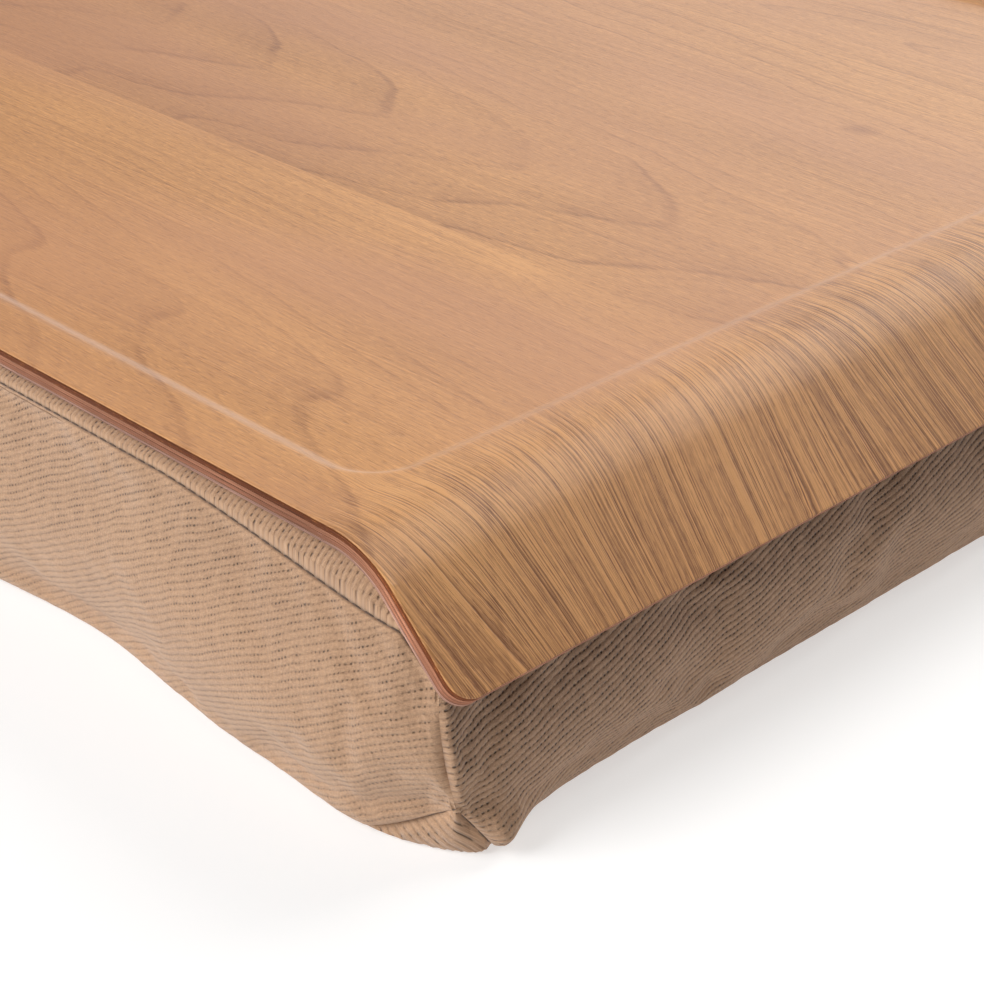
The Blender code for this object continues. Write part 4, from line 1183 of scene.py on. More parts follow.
def edge_distance(grid, axis, from_end):
    """Distance along the surface from one border, below 0 on the rows of the allowance."""
    step = np.linalg.norm(np.diff(grid, axis=axis), axis=-1)
    shape = list(step.shape)
    shape[axis] = 1
    total = np.concatenate([np.zeros(shape), np.cumsum(step, axis=axis)], axis=axis)
    if from_end:
        total = np.take(total, [-1], axis=axis) - total
    width = [(0, 0), (0, 0)]
    beyond = -ALLOWANCE * np.arange(1, ALLOWANCE_ROWS + 1) / ALLOWANCE_ROWS
    width[axis] = (ALLOWANCE_ROWS, ALLOWANCE_ROWS)
    padded = np.pad(total, width, mode="edge")
    place = [slice(None), slice(None)]
    place[axis] = slice(-ALLOWANCE_ROWS, None) if from_end else slice(0, ALLOWANCE_ROWS)
    shaped = beyond if from_end else beyond[::-1]
    padded[tuple(place)] = shaped[:, None] if axis == 0 else shaped[None, :]
    return padded


def corner_trim(grid, axis, edges):
    """How much of a lip and its allowance is left: 0.12 at a corner of two seams, all from 6 mm away."""
    ends = []
    for end in (False, True):
        if (1 - axis, end) in edges:
            ends.append(padded_rows(edge_distance(grid, 1 - axis, end), axis))
    away = np.clip(np.min(ends, axis=0), 0, None)
    return TRIM_LEFT + (1 - TRIM_LEFT) * smooth_step(away / TRIM_LENGTH)


def sewn_panel(grid, normal_axis, sign, edges, seed):
    """Turns a plain grid into a sewn one: lips, puckers and allowances at its sewn borders.

    edges lists, for each border (axis, at its end or not), the axis and sign of the panel next to it,
    and how far the cloth swells beside that seam. Each lip moves the border inwards along both panels'
    directions, so neighbours meet at one line, and the four upright seams have a shallower lip. A
    border that isn't listed keeps its cut edge. The second result says how near each point is to a
    seam, e^-(inset / 1.4 mm)^2, and the third counts the allowances that it lies on.
    """
    padded = padded_rows(padded_rows(grid, 0), 1)
    inward = np.zeros(padded.shape)
    ripple = np.zeros(padded.shape[:2])
    crease = np.zeros(padded.shape[:2])
    turned_in = np.zeros(padded.shape[:2], int)
    for (axis, from_end), (other_axis, other_sign, hump) in edges.items():
        inset = padded_rows(edge_distance(grid, axis, from_end), 1 - axis)
        trim = corner_trim(grid, axis, edges)
        at_corner = CORNER_LIP if 2 not in (normal_axis, other_axis) else 1.0
        share = lip(inset) * trim * at_corner
        for each, side in ((normal_axis, sign), (other_axis, other_sign)):
            deeper = -side * share
            current = inward[..., each]
            inward[..., each] = np.where(np.abs(deeper) > np.abs(current), deeper, current)
        run = padded[..., 0] + padded[..., 1] + padded[..., 2]
        puckers = wander(run, PUCKER_LENGTH, seed + axis + 2 * from_end)
        ripple += PUCKER * beside(inset, PUCKER_REACH) * puckers
        wrinkles = wander(run, WRINKLE_LENGTH, seed + 5 + axis)
        ripple += WRINKLE * PUCKER * beside(inset, WRINKLE_REACH) * wrinkles
        ripple += hump * beside(inset, HUMP_REACH)
        near = np.exp(-(np.clip(inset, 0, None) / CREASE_WIDTH) ** 2)
        crease = np.maximum(crease, near * np.sqrt(trim * at_corner))
        turned_in += inset < 0
    result = padded + inward * LIP_DEPTH / math.sqrt(2)
    result[..., normal_axis] += sign * ripple
    kept = []
    for axis in (0, 1):
        first = 0 if (axis, False) in edges else ALLOWANCE_ROWS
        last = result.shape[axis] - (0 if (axis, True) in edges else ALLOWANCE_ROWS)
        kept.append(slice(first, last))
    return tuple(values[tuple(kept)] for values in (result, crease, turned_in))


def cloth_map(grid, side, angle, seam_row):
    """The cloth's flat map in metres, turned by the rib's angle.

    Along a side it holds the place itself, and down it the arc length, counted from one level line, so
    that the ribs run straight past a sagging seam. Under the cushion the ribs run at 45 degrees, and up
    each drawn-up corner they go on in one slant.
    """
    if side == "top":
        u, v = grid[..., 0], grid[..., 1]
    elif side == "bottom":
        x, y, z = (grid[..., axis] for axis in range(3))
        in_x, in_y = HALF_X - np.abs(x), HALF_Y - np.abs(y)
        corner = np.exp(-(in_x / EAR_FADE) ** 2 - (in_y / EAR_FADE) ** 2)
        u = 0.7 * (x - y) - 0.5 * z * corner
        v = 0.7 * (x + y) + corner * (0.55 * z + 0.35 * (np.sign(x) * in_x + np.sign(y) * in_y))
    else:
        along_x = side in ("front", "back")
        u = grid[..., 0] if along_x else grid[..., 1]
        step = np.linalg.norm(np.diff(grid[..., 1:] if along_x else grid[..., ::2], axis=1), axis=-1)
        v = np.pad(np.cumsum(step, axis=1), ((0, 0), (1, 0)))
        v = v - v[:, seam_row:seam_row + 1] + SIDE_TOP - grid[:, seam_row:seam_row + 1, 2]
    cos, sin = math.cos(angle), math.sin(angle)
    return np.stack([u * cos + v * sin, v * cos - u * sin], axis=-1)


# %% [markdown]
# ## Twill
# Twill is woven so that each thread passes over its neighbour one place further on, which makes the
# slanting ribs. The flat map was turned by the rib's angle, so one finish serves every panel: the ribs
# run along u, and across them goes a row of rounded tops with dark dots in the valleys, where one sees
# the threads go under. Noise bends the ribs, and makes some threads lighter than others.

# %% Twill finish
RIB = 0.00146
PICK = 0.00104
TWILL_RELIEF = 0.00028
TWILL_LIGHT = (0.56, 0.342, 0.205)
TWILL_DARK = (0.215, 0.115, 0.063)
# The pit colour is also the shade painted into the seams' grooves.
TWILL_PIT_AND_SHADE = (0.098, 0.052, 0.027)


def twill_finish(name, light, dark, pit_and_shade):
    """Ribs of a given pitch, picks along them, pits in the valleys, the unevenness of spun yarn, and painted
    shade.
    """
    settings = {"Sheen_Weight": 0.25, "Sheen_Roughness": 0.6, "Roughness": 0.95}
    material, tree, shader = new_finish(name, Specular_IOR_Level=0.15, **settings)
    place, along, across = flat_place(tree)
    drift = calc(tree, "SUBTRACT", grain_noise(tree, place, (55, 55, 1), 2, 0.5), 0.5)
    bent = calc(tree, "MULTIPLY_ADD", drift, 0.0020, across)
    shiver = calc(tree, "SUBTRACT", grain_noise(tree, place, (700, 700, 1), 2, 0.6, 2.0), 0.5)
    bent = calc(tree, "MULTIPLY_ADD", shiver, 0.00046, bent)
    rib = calc(tree, "DIVIDE", bent, RIB)
    top = calc(tree, "ABSOLUTE", calc(tree, "SINE", calc(tree, "MULTIPLY", rib, math.pi)))
    jitter = calc(tree, "MULTIPLY_ADD", shiver, 0.0007, along)
    slanted = calc(tree, "MULTIPLY_ADD", rib, 0.5, calc(tree, "DIVIDE", jitter, PICK))
    pick = ranged(tree, calc(tree, "SINE", calc(tree, "MULTIPLY", slanted, 2 * math.pi)), -1, 1)
    valley = ranged(tree, top, 0.0, 0.9, 1, 0, True)
    bold = ranged(tree, grain_noise(tree, place, (300, 300, 1), 3, 0.65, 9.0), 0.38, 0.62, 0.0, 1.5)
    near_seam = ranged(tree, named_layer(tree, "crease"), 0.0, 0.8, 1.0, 0.3, True)
    boldness_and_shade = calc(tree, "MULTIPLY", named_layer(tree, "bold"), near_seam)
    bold = calc(tree, "MULTIPLY", bold, boldness_and_shade)
    dots = ranged(tree, top, 0.05, 0.70, 1, 0, True)
    pits = calc(tree, "MULTIPLY", dots, ranged(tree, pick, 0.30, 0.90, 0, 1, True))
    pits = calc(tree, "MULTIPLY", pits, bold)
    yarn = ranged(tree, grain_noise(tree, place, (900, 2100, 1), 3, 0.65, 4.0), 0.3, 0.7, -1, 1)
    upright = ranged(tree, grain_noise(tree, place, (2300, 420, 1), 2, 0.6, 5.0), 0.3, 0.7, -1, 1)
    fuzz = ranged(tree, grain_noise(tree, place, (4200, 4200, 1), 2, 0.7, 6.0), 0.3, 0.7, -1, 1)
    patchy = ranged(tree, grain_noise(tree, place, (38, 38, 1), 3, 0.6, 8.0), 0.3, 0.7, -1, 1)
    # Painted shade: the stored boldness also darkens the cloth, most on the ends and just below the tray.
    depth = calc(tree, "MULTIPLY", valley, ranged(tree, boldness_and_shade, 0, 2, 0.12, 0.30))
    depth = calc(tree, "ADD", depth, ranged(tree, boldness_and_shade, 0.75, 2.0, -0.02, 0.26))
    for part, weight in ((bold, 0.08), (yarn, 0.20), (upright, 0.09), (fuzz, 0.20), (patchy, 0.06)):
        depth = calc(tree, "MULTIPLY_ADD", part, weight, depth)
    depth = calc(tree, "ADD", depth, 0.19, clamp=True)
    colour = mixed(tree, depth, (*light, 1), (*dark, 1))
    colour = mixed(tree, calc(tree, "MULTIPLY", pits, 0.95, clamp=True), colour, (*pit_and_shade, 1))
    # Painted shade: the cloth darkens towards the pit colour in each seam's groove.
    seam_groove_shade = ranged(tree, named_layer(tree, "crease"), 0.72, 1.0, 0, 0.42, True)
    colour = mixed(tree, seam_groove_shade, colour, (*pit_and_shade, 1))
    feed(tree, shader.inputs["Base Color"], colour)
    height = top
    for part, weight in ((pick, 0.22), (fuzz, 0.22), (yarn, 0.16), (pits, -0.6)):
        height = calc(tree, "MULTIPLY_ADD", part, weight, height)
    height = calc(tree, "MULTIPLY", height, ranged(tree, boldness_and_shade, 0, 1.5, 0.25, 1.0))
    rise(tree, shader, height, TWILL_RELIEF)
    return material


twill = twill_finish("twill", TWILL_LIGHT, TWILL_DARK, TWILL_PIT_AND_SHADE)

# %% [markdown]
# ## The cover's seven panels
# Top, bottom, front, left and right are one piece of cloth each, and the back is two bands with the zip
# between them. Each is cut flat and sewn.

# %% Panels
FINE_X = 130
FINE_Y = 72
FINER_X = 210
FINER_Y = 170
WALL_ROWS = 25
SEAM_CROWDING = 0.86
FINER_CROWDING = 0.5
FINER_XS = blended_stations(HALF_X, FINER_X, FINER_CROWDING)
FINER_YS = blended_stations(HALF_Y, FINER_Y, FINER_CROWDING)
EAR_FADE = 0.035
RIB_ANGLES = {"top": 86, "bottom": 0, "front": -28, "back": -28, "right": -17, "left": -17}
# Boldness of the weave for each side; it also paints shade, darker on the ends and the top strip, and darker
# still just below the tray.
BOLDNESS_AND_SHADE = {"top": 0.8, "bottom": 0.9, "front": 0.5, "back": 0.5, "right": 0.85, "left": 0.85}
TRAY_SHADE_AND_BOLDNESS = {"top": 0.0, "bottom": 0.0, "front": 0.3, "back": 0.3, "right": 1.4, "left": 1.4}
TRAY_SHADE_FADE = 0.028
FRONT_DIP = -0.0002
END_LIP = 0.0006


def even_share(count):
    """Shares from 0 to 1."""
    return np.linspace(0, 1, count)


def coarse_places(places, half, count):
    """Shares along a coarse grid of 2 count cells that belong to given places on its side."""
    return np.interp(places, blended_stations(half, count, CROWDING), even_share(2 * count + 1))


def row_shares(count):
    """Shares of a side's height, crowded at both seams, where the lips need fine rows."""
    return (blended_stations(1.0, count, SEAM_CROWDING) + 1) / 2


def cloth_piece(name, sewn, side, nodes, flip, seam_row=ALLOWANCE_ROWS):
    """Makes a piece of cloth from a sewn grid, and stores how bold its weave is, which also paints shade,
    and where it is creased.

    Where two allowances would overlap at a corner, the cloth is cut away, as a maker clips it.
    """
    grid, crease, turned_in = sewn
    grid[..., 2] = np.maximum(grid[..., 2], 0.0)
    flat = cloth_map(grid, side, math.radians(RIB_ANGLES[side]), seam_row).reshape(-1, 2)
    quads = grid_quads(*grid.shape[:2])
    quads = quads[:, ::-1] if flip else quads
    quads = quads[turned_in.ravel()[quads].max(axis=1) < 2]
    used, numbers = np.unique(quads, return_inverse=True)
    numbers = numbers.reshape(quads.shape)
    points = grid.reshape(-1, 3)[used]
    piece = add_piece(name, points, numbers, twill, "cushion", "twill", nodes, flat[quads], 60)
    # Painted shade: bolder and darker cloth just below the tray, fading downwards.
    below_top = np.clip(SIDE_TOP - points[:, 2], 0, None)
    tray_shade = TRAY_SHADE_AND_BOLDNESS[side] * np.exp(-(below_top / TRAY_SHADE_FADE) ** 2)
    add_layer(piece.data, "bold", BOLDNESS_AND_SHADE[side] + tray_shade)
    add_layer(piece.data, "crease", crease.ravel()[used])
    thicken(piece, CLOTH)
    return piece


def declare_cloth(grid):
    for axis in (0, 1):
        steps = np.linalg.norm(np.diff(grid, axis=axis), axis=-1)
        float(steps.sum(axis=axis).mean())


def swelled(side, surface, rows, columns):
    """A fine surface moved by the simulated shift of its side."""
    return surface + refined(cover_swell[side], rows, columns)


def build_panels():
    """The cover's four sides that are one piece of cloth each, its top and its bottom."""
    xs = blended_stations(HALF_X, FINE_X, CROWDING)
    ys = blended_stations(HALF_Y, FINE_Y, CROWDING)
    shares = row_shares(WALL_ROWS)
    coarse_rows = np.interp(shares, wall_shares(COARSE_T + 1), even_share(COARSE_T + 1))
    around = {(1, False): (1, -1, 0), (1, True): (1, 1, 0), (0, False): (0, -1, 0), (0, True): (0, 1, 0)}
    for side, surface, sign in (("top", top_surface, 1), ("bottom", bottom_surface, -1)):
        grid = swelled(side, surface(xs, ys), even_share(len(xs)), even_share(len(ys)))
        sewn = sewn_panel(grid, 2, sign, around, 2.0 + sign)
        piece = cloth_piece(f"{side}_panel", sewn, side, [f"cover_{side}_panel"], sign < 0)
        declare_cloth(sewn[0])
    borders = {(1, False): (2, 1, 0), (1, True): (2, -1, 0)}
    front_borders = {**borders, (0, False): (0, -1, FRONT_DIP), (0, True): (0, 1, FRONT_DIP)}
    coarse_x = coarse_places(FINER_XS, HALF_X, COARSE_X)
    front = swelled("front", side_surface("front", FINER_XS, by_share(shares)), coarse_x, coarse_rows)
    sewn = sewn_panel(front, 1, -1, front_borders, 3.0)
    piece = cloth_piece("front_panel", sewn, "front", ["cover_front_panel"], True)
    declare_cloth(sewn[0])
    end_borders = {**borders, (0, False): (1, -1, END_LIP), (0, True): (1, 1, END_LIP)}
    coarse_y = coarse_places(FINER_YS, HALF_Y, COARSE_Y)
    for side, sign in (("right", 1), ("left", -1)):
        grid = swelled(side, side_surface(side, FINER_YS, by_share(shares)), coarse_y, coarse_rows)
        sewn = sewn_panel(grid, 0, sign, end_borders, 4.0 + sign)
        piece = cloth_piece(f"{side}_panel", sewn, side, [f"cover_{side}_panel"], sign > 0)
        declare_cloth(sewn[0])


def band_heights(sign, opening, shares):
    """Heights of a back band's rows: from the top seam to the opening, or from there to the bottom seam."""
    if sign > 0:
        return lambda high, low: high + (ZIP_HEIGHT + opening - high) * shares[None, :]
    return lambda high, low: ZIP_HEIGHT - opening + (low - ZIP_HEIGHT + opening) * shares[None, :]


def build_back_bands():
    """The back's two bands, each from its seam to the edge of the zip's opening."""
    shares = row_shares(WALL_ROWS // 2 + 4)
    opening = ZIP_OPENING / 2 * (1 - smooth_step((np.abs(FINER_XS) - ZIP_HALF) / ZIP_CLOSE_RUN))[:, None]
    coarse_x = coarse_places(FINER_XS, HALF_X, COARSE_X)
    ends = {(0, False): (0, -1, FRONT_DIP), (0, True): (0, 1, FRONT_DIP)}
    for word, sign in (("upper", 1), ("lower", -1)):
        surface = side_surface("back", FINER_XS, band_heights(sign, opening, shares))
        drop = (SIDE_TOP - surface[FINER_X, :, 2]) / (SIDE_TOP - SEAM_FLOOR_HEIGHT)
        rows = np.interp(drop, wall_shares(COARSE_T + 1), even_share(COARSE_T + 1))
        seam = {(1, False): (2, 1, 0)} if sign > 0 else {(1, True): (2, -1, 0)}
        sewn = sewn_panel(swelled("back", surface, coarse_x, rows), 1, 1, {**ends, **seam}, 8.0 + sign)
        seam_row = ALLOWANCE_ROWS if sign > 0 else 0
        node = f"cover_back_{word}_band"
        piece = cloth_piece(f"back_{word}_band", sewn, "back", [node], False, seam_row)
        declare_cloth(sewn[0])


build_panels()
build_back_bands()

# %% [markdown]
# ## The bag and its beads
# Under the cover lies a plain cotton bag of two sheets, sewn together round their rim, full of foam
# beads. None of it shows until the zip is open, but it is there, as it is in the real cushion. Each half
# is a pillow: a rise that is flat in the middle and steep at the rim.

# %% Bag and beads
BAG_CLOTH = 0.0004
BAG_SIDE_ROOM = 0.005
BAG_TOP = LOOP_SEAT - CLOTH - TOUCH_GAP
BAG_BOTTOM = CLOTH + TOUCH_GAP
BAG_GRID = (121, 101)
BAG_WRINKLE = 0.0005


def pillow(inset, upper, columns, rows, wrinkle):
    """One half of a pillow: height = middle + rise sqrt((1 - a^8) (1 - b^8)), drawn in by an inset.

    a and b run from -1 to 1 along and across. Wrinkles only ever go inwards, and fade in the middle.
    """
    a = np.sin(np.linspace(-1, 1, columns) * math.pi / 2)
    b = np.sin(np.linspace(-1, 1, rows) * math.pi / 2)
    across, along = np.meshgrid(b, a)
    swell = np.sqrt((1 - np.abs(along) ** 8) * (1 - np.abs(across) ** 8))
    tall = (BAG_TOP - inset if upper else BAG_BOTTOM + inset) - ZIP_HEIGHT
    folds = wander(along * HALF_X, 0.023, 3.0) * wander(across * HALF_Y, 0.031, 5.0)
    folds = wrinkle * (1 + folds) / 2 * swell
    half_gap = TOUCH_GAP / 2 if upper else -TOUCH_GAP / 2
    height = ZIP_HEIGHT + half_gap + tall * swell - np.sign(tall) * folds
    room = BAG_SIDE_ROOM + inset
    return np.stack([along * (HALF_X - room), across * (HALF_Y - room), height], axis=-1)


def cotton_finish():
    """Plain weave: two crossed sets of fine threads, with slubs."""
    material, tree, shader = new_finish("cotton", Roughness=0.95, Sheen_Weight=0.1)
    place = object_place(tree)
    warp = ranged(tree, grain_noise(tree, place, (2600, 60, 60), 2, 0.6), 0.35, 0.65)
    weft = ranged(tree, grain_noise(tree, place, (60, 2600, 60), 2, 0.6, 4.0), 0.35, 0.65)
    threads = calc(tree, "MULTIPLY_ADD", warp, 0.5, calc(tree, "MULTIPLY", weft, 0.5))
    colour = mixed(tree, threads, (0.62, 0.58, 0.49, 1), (0.80, 0.76, 0.68, 1))
    feed(tree, shader.inputs["Base Color"], colour)
    rise(tree, shader, threads, 0.0001)
    return material


def bead_finish():
    """Foam beads a few millimetres across: a cell pattern, each cell domed, with painted shade towards its
    rim.
    """
    material, tree, shader = new_finish("beads", Roughness=0.7)
    cells = tree.nodes.new("ShaderNodeTexVoronoi")
    cells.inputs["Scale"].default_value = 330.0
    tree.links.new(object_place(tree), cells.inputs["Vector"])
    dome_and_shade = ranged(tree, cells.outputs["Distance"], 0.0, 0.7, 1, 0)
    # Painted shade: each white bead turns grey towards its rim.
    colour = mixed(tree, dome_and_shade, (0.45, 0.45, 0.44, 1), (0.90, 0.90, 0.88, 1))
    feed(tree, shader.inputs["Base Color"], colour)
    rise(tree, shader, dome_and_shade, 0.0012)
    return material


def build_inner_pad():
    """The bag's two sheets and the bead fill between them."""
    cotton = cotton_finish()
    for word, upper in (("top", True), ("bottom", False)):
        grid = pillow(0.0, upper, *BAG_GRID, BAG_WRINKLE)
        quads = grid_quads(*BAG_GRID)
        quads = quads if upper else quads[:, ::-1]
        name = f"bag_{word}_sheet"
        piece = add_piece(name, grid.reshape(-1, 3), quads, cotton, "cushion", "bag", [name])
        thicken(piece, BAG_CLOTH)
        declare_cloth(grid)
    within = BAG_CLOTH + TOUCH_GAP
    halves = [pillow(within, upper, *BAG_GRID, BAG_WRINKLE) for upper in (True, False)]
    points = np.concatenate([half.reshape(-1, 3) for half in halves])
    quads = outward(points, closed_cells(*BAG_GRID)[2])
    fill = add_piece("bead_fill", points, quads, bead_finish(), "cushion", "beads", ["bead_fill"])


build_inner_pad()

# %% [markdown]
# ## Hook and loop
# The tray is held by four pairs of strips. A strip is a woven base with hundreds of little hooks, or
# with a fleece of loops. One hook is a bent tube of a few dozen faces, and it is repeated by adding
# whole arrays of places to its points.

# %% Strips
STRIP_BASE = 0.00035
HOOK_PITCH = 0.0017
LOOP_PITCH = 0.0016
PILE_MARGIN = 0.0025
HOOK_CURL = 0.00022
HOOK_STEM = 0.0005


def plate(outline, low, high, edge, axis=2, steps=4):
    """A plate with rounded edges: rings of an outline, drawn in by edge (1 - sin a) near both faces."""
    turn = np.linspace(0, math.pi / 2, steps)
    inset = np.concatenate([edge * (1 - np.sin(turn)), edge * (1 - np.sin(turn[::-1]))])
    level = np.concatenate([low + edge * (1 - np.cos(turn)), high - edge * (1 - np.cos(turn[::-1]))])
    middle = outline.mean(axis=0)
    reach = np.linalg.norm(outline - middle, axis=1).max()
    rings = middle + (outline - middle)[None] * (1 - inset / reach)[:, None, None]
    flat = np.concatenate([rings, np.broadcast_to(level[:, None, None], (*rings.shape[:2], 1))], axis=-1)
    order = {2: [0, 1, 2], 1: [0, 2, 1]}[axis]
    points, quads = loft(flat[..., order])
    return points, outward(points, quads)


def rounded_outline(half_x, half_y, radius, steps=6):
    """Points once round a rectangle with round corners."""
    turn = np.linspace(0, math.pi / 2, steps)
    arcs = []
    for quarter, (sx, sy) in enumerate(((1, 1), (-1, 1), (-1, -1), (1, -1))):
        angle = turn + quarter * math.pi / 2
        middle = np.array([sx * (half_x - radius), sy * (half_y - radius)])
        arcs.append(middle + radius * np.stack([np.cos(angle), np.sin(angle)], axis=-1))
    return np.concatenate(arcs)


def scattered(half_x, half_y, pitch, seed):
    """Places in staggered rows inside a rectangle, each a little off its row."""
    places = []
    for number, y in enumerate(np.arange(-half_y, half_y, pitch)):
        x = np.arange(-half_x + (number % 2) * pitch / 2, half_x, pitch)
        places.append(np.stack([x, np.full_like(x, y)], axis=-1))
    flat = np.concatenate(places)
    noise = np.random.default_rng(seed)
    return flat + noise.uniform(-0.15, 0.15, flat.shape) * pitch


def hook_shape():
    """One hook pointing down: a stem, then five eighths of a small circle."""
    stem = np.array([[0, 0, 0.0001], [0, 0, -0.0003]])
    angle = np.linspace(0, 1.25 * math.pi, 7)
    x = HOOK_CURL - HOOK_CURL * np.cos(angle)
    curl = np.stack([x, 0 * angle, -HOOK_STEM - HOOK_CURL * np.sin(angle)], axis=-1)
    points, quads = tube(np.concatenate([stem, curl]), 0.00008, 4, (0.0, 1.0, 0.0))
    return points, outward(points, quads)


def loop_shape():
    """One loop: half an ellipse of thread that stands on the base."""
    angle = np.linspace(0, math.pi, 8)
    x, y = 0.0005 * np.cos(angle), 0.0002 * np.sin(2 * angle)
    path = np.stack([x, y, -0.0001 + 0.0008 * np.sin(angle)], axis=-1)
    points, quads = tube(path, 0.00006, 4, (0.0, 1.0, 0.0))
    return points, outward(points, quads)


def strip_finish(name, light, dark):
    """Woven nylon: fine ribs along the strip, and uneven thread."""
    material, tree, shader = new_finish(name, Roughness=0.8, Sheen_Weight=0.15)
    place = object_place(tree)
    ribs = ranged(tree, grain_noise(tree, place, (240, 2400, 240), 2, 0.6), 0.35, 0.65)
    slub = ranged(tree, grain_noise(tree, place, (1500, 1500, 1500), 1, 0.5, 3.0), 0.3, 0.7, 0, 0.5)
    share = calc(tree, "MULTIPLY_ADD", ribs, 0.5, slub)
    feed(tree, shader.inputs["Base Color"], mixed(tree, share, (*light, 1), (*dark, 1)))
    rise(tree, shader, ribs, 0.00006)
    return material


def build_strips():
    """Four hook strips under the tray, four loop strips on the cushion, each with its own pile."""
    hooks = strip_finish("hooks", (0.36, 0.28, 0.20), (0.22, 0.16, 0.11))
    loops = strip_finish("loops", (0.50, 0.39, 0.29), (0.34, 0.26, 0.19))
    outline = rounded_outline(STRIP_LENGTH / 2, STRIP_WIDTH / 2, STRIP_CORNER)
    half_x, half_y = STRIP_LENGTH / 2 - PILE_MARGIN, STRIP_WIDTH / 2 - PILE_MARGIN
    hook_base = HOOK_TOP - STRIP_BASE
    loop_base = LOOP_TOP - STRIP_THICKNESS
    loop_face = loop_base + STRIP_BASE
    kinds = (
        ("hook", hooks, "tray", "hooks", hook_base, HOOK_TOP, hook_shape(), hook_base, HOOK_PITCH),
        ("loop", loops, "cushion", "loops", loop_base, loop_face, loop_shape(), loop_face, LOOP_PITCH),
    )
    for row, (word_y, sign_y) in enumerate((("front", -1), ("back", 1))):
        for column, (word_x, sign_x) in enumerate((("left", -1), ("right", 1))):
            middle = np.array([sign_x * STRIP_OUT_X, sign_y * STRIP_OUT_Y])
            for kind, finish, body, slot, low, high, pile, foot, pitch in kinds:
                base = plate(outline + middle, low, high, 0.0001, steps=2)
                seed = 10 + 2 * row + column
                places = scattered(half_x, half_y, pitch, seed) + middle
                shifts = np.concatenate([places, np.full((len(places), 1), foot)], axis=1)
                turns = np.random.default_rng(seed).uniform(-0.5, 0.5, len(shifts))
                turns = turns + (math.pi * (np.arange(len(shifts)) % 2) if kind == "hook" else 3 * turns)
                piled = repeated(*pile, shifts, turns)
                name = f"{kind}_strip_{word_y}_{word_x}"
                add_piece(name, *joined(base, piled), finish, body, slot, [name])


build_strips()

# %% [markdown]
# ## Threads
# A seam shows its thread as a row of short dashes in the groove between two lips, and each edge beside
# the zip has a row of topstitching. A stitch is a short tube between two points. All stitches of a row
# are made at once, from one array of starts and one of ends.

# %% Threads
SEAM_STITCH = 0.0022
SEAM_STITCH_GAP = 0.0010
TOP_STITCH = 0.0024
TOP_STITCH_GAP = 0.0009
THREAD = 0.00022
TOP_STITCH_AWAY = 0.002


def along_path(path, places):
    """Points at given distances along a path."""
    step = np.linalg.norm(np.diff(path, axis=0), axis=1)
    total = np.concatenate([[0], np.cumsum(step)])
    return np.stack([np.interp(places, total, path[:, axis]) for axis in range(3)], axis=-1)


def stitches(path, length, gap, radius):
    """Short tubes along a path, each with its ends drawn in: rings of 6 points at 4 stations."""
    run = float(np.linalg.norm(np.diff(path, axis=0), axis=1).sum())
    starts = np.arange(gap, run - length, length + gap)
    stations = np.array([0.0, 0.15, 0.85, 1.0])
    places = starts[:, None] + length * stations[None, :]
    centres = along_path(path, places.ravel()).reshape(len(starts), len(stations), 3)
    ahead = unit(centres[:, -1] - centres[:, 0])
    side = unit(np.cross(ahead, np.array([0.3, 0.2, 0.93])))
    ring = circles(side, np.cross(side, ahead), 6)
    reach = radius * np.array([0.35, 1.0, 1.0, 0.35])
    points = centres[:, :, None] + reach[None, :, None, None] * ring[:, None]
    _, quads = loft(points[0])
    quads = outward(points[0].reshape(-1, 3), quads)
    count = points.shape[1] * points.shape[2]
    numbers = quads[None] + (np.arange(len(starts)) * count)[:, None, None]
    return points.reshape(-1, 3), numbers.reshape(-1, 4)


def seam_paths():
    """The lines of the cover's seams, a little inside the corner that two plain panels would make."""
    inside = LIP_DEPTH / math.sqrt(2) - 0.3 * THREAD
    top, bottom = by_share(np.array([0.0])), by_share(np.array([1.0]))
    sides = (
        ("front", FINER_XS, (0, 1)), ("back", FINER_XS, (0, -1)),
        ("right", FINER_YS, (-1, 0)), ("left", FINER_YS, (1, 0)),
    )
    for side, places, inward in sides:
        for heights, upward in ((top, -1), (bottom, 1)):
            yield side_surface(side, places, heights)[2:-2, 0] + inside * np.array([*inward, upward])
    for side in ("front", "back"):
        corner = side_surface(side, np.array([-HALF_X, HALF_X]), by_share(np.linspace(0.02, 0.98, 80)))
        inward = -1 if side == "back" else 1
        for line, sideways in zip(corner, (1, -1)):
            yield line + inside * np.array([sideways, inward, 0])


def zip_edge_paths():
    """Lines 2 mm above and below the zip's opening, on the face of the back's bands."""
    xs = np.linspace(-ZIP_HALF, ZIP_HALF, 400)
    for sign in (1, -1):
        level = ZIP_HEIGHT + sign * (ZIP_OPENING / 2 + TOP_STITCH_AWAY)
        line = side_surface("back", xs, lambda high, low: np.full((len(xs), 1), level))[:, 0]
        yield line + np.array([0, 0.5 * THREAD, 0])


def thread_finish(name, colour):
    """Twisted sewing thread: fine slanting bands."""
    material, tree, shader = new_finish(name, Roughness=0.7, Sheen_Weight=0.2)
    twist = grain_noise(tree, object_place(tree), (2600, 2600, 2600), 1, 0.5)
    bands = ranged(tree, twist, 0.35, 0.65, 0.75, 1.2)
    colour = mixed(tree, 1.0, (*colour, 1), grey(tree, bands), "MULTIPLY")
    feed(tree, shader.inputs["Base Color"], colour)
    return material


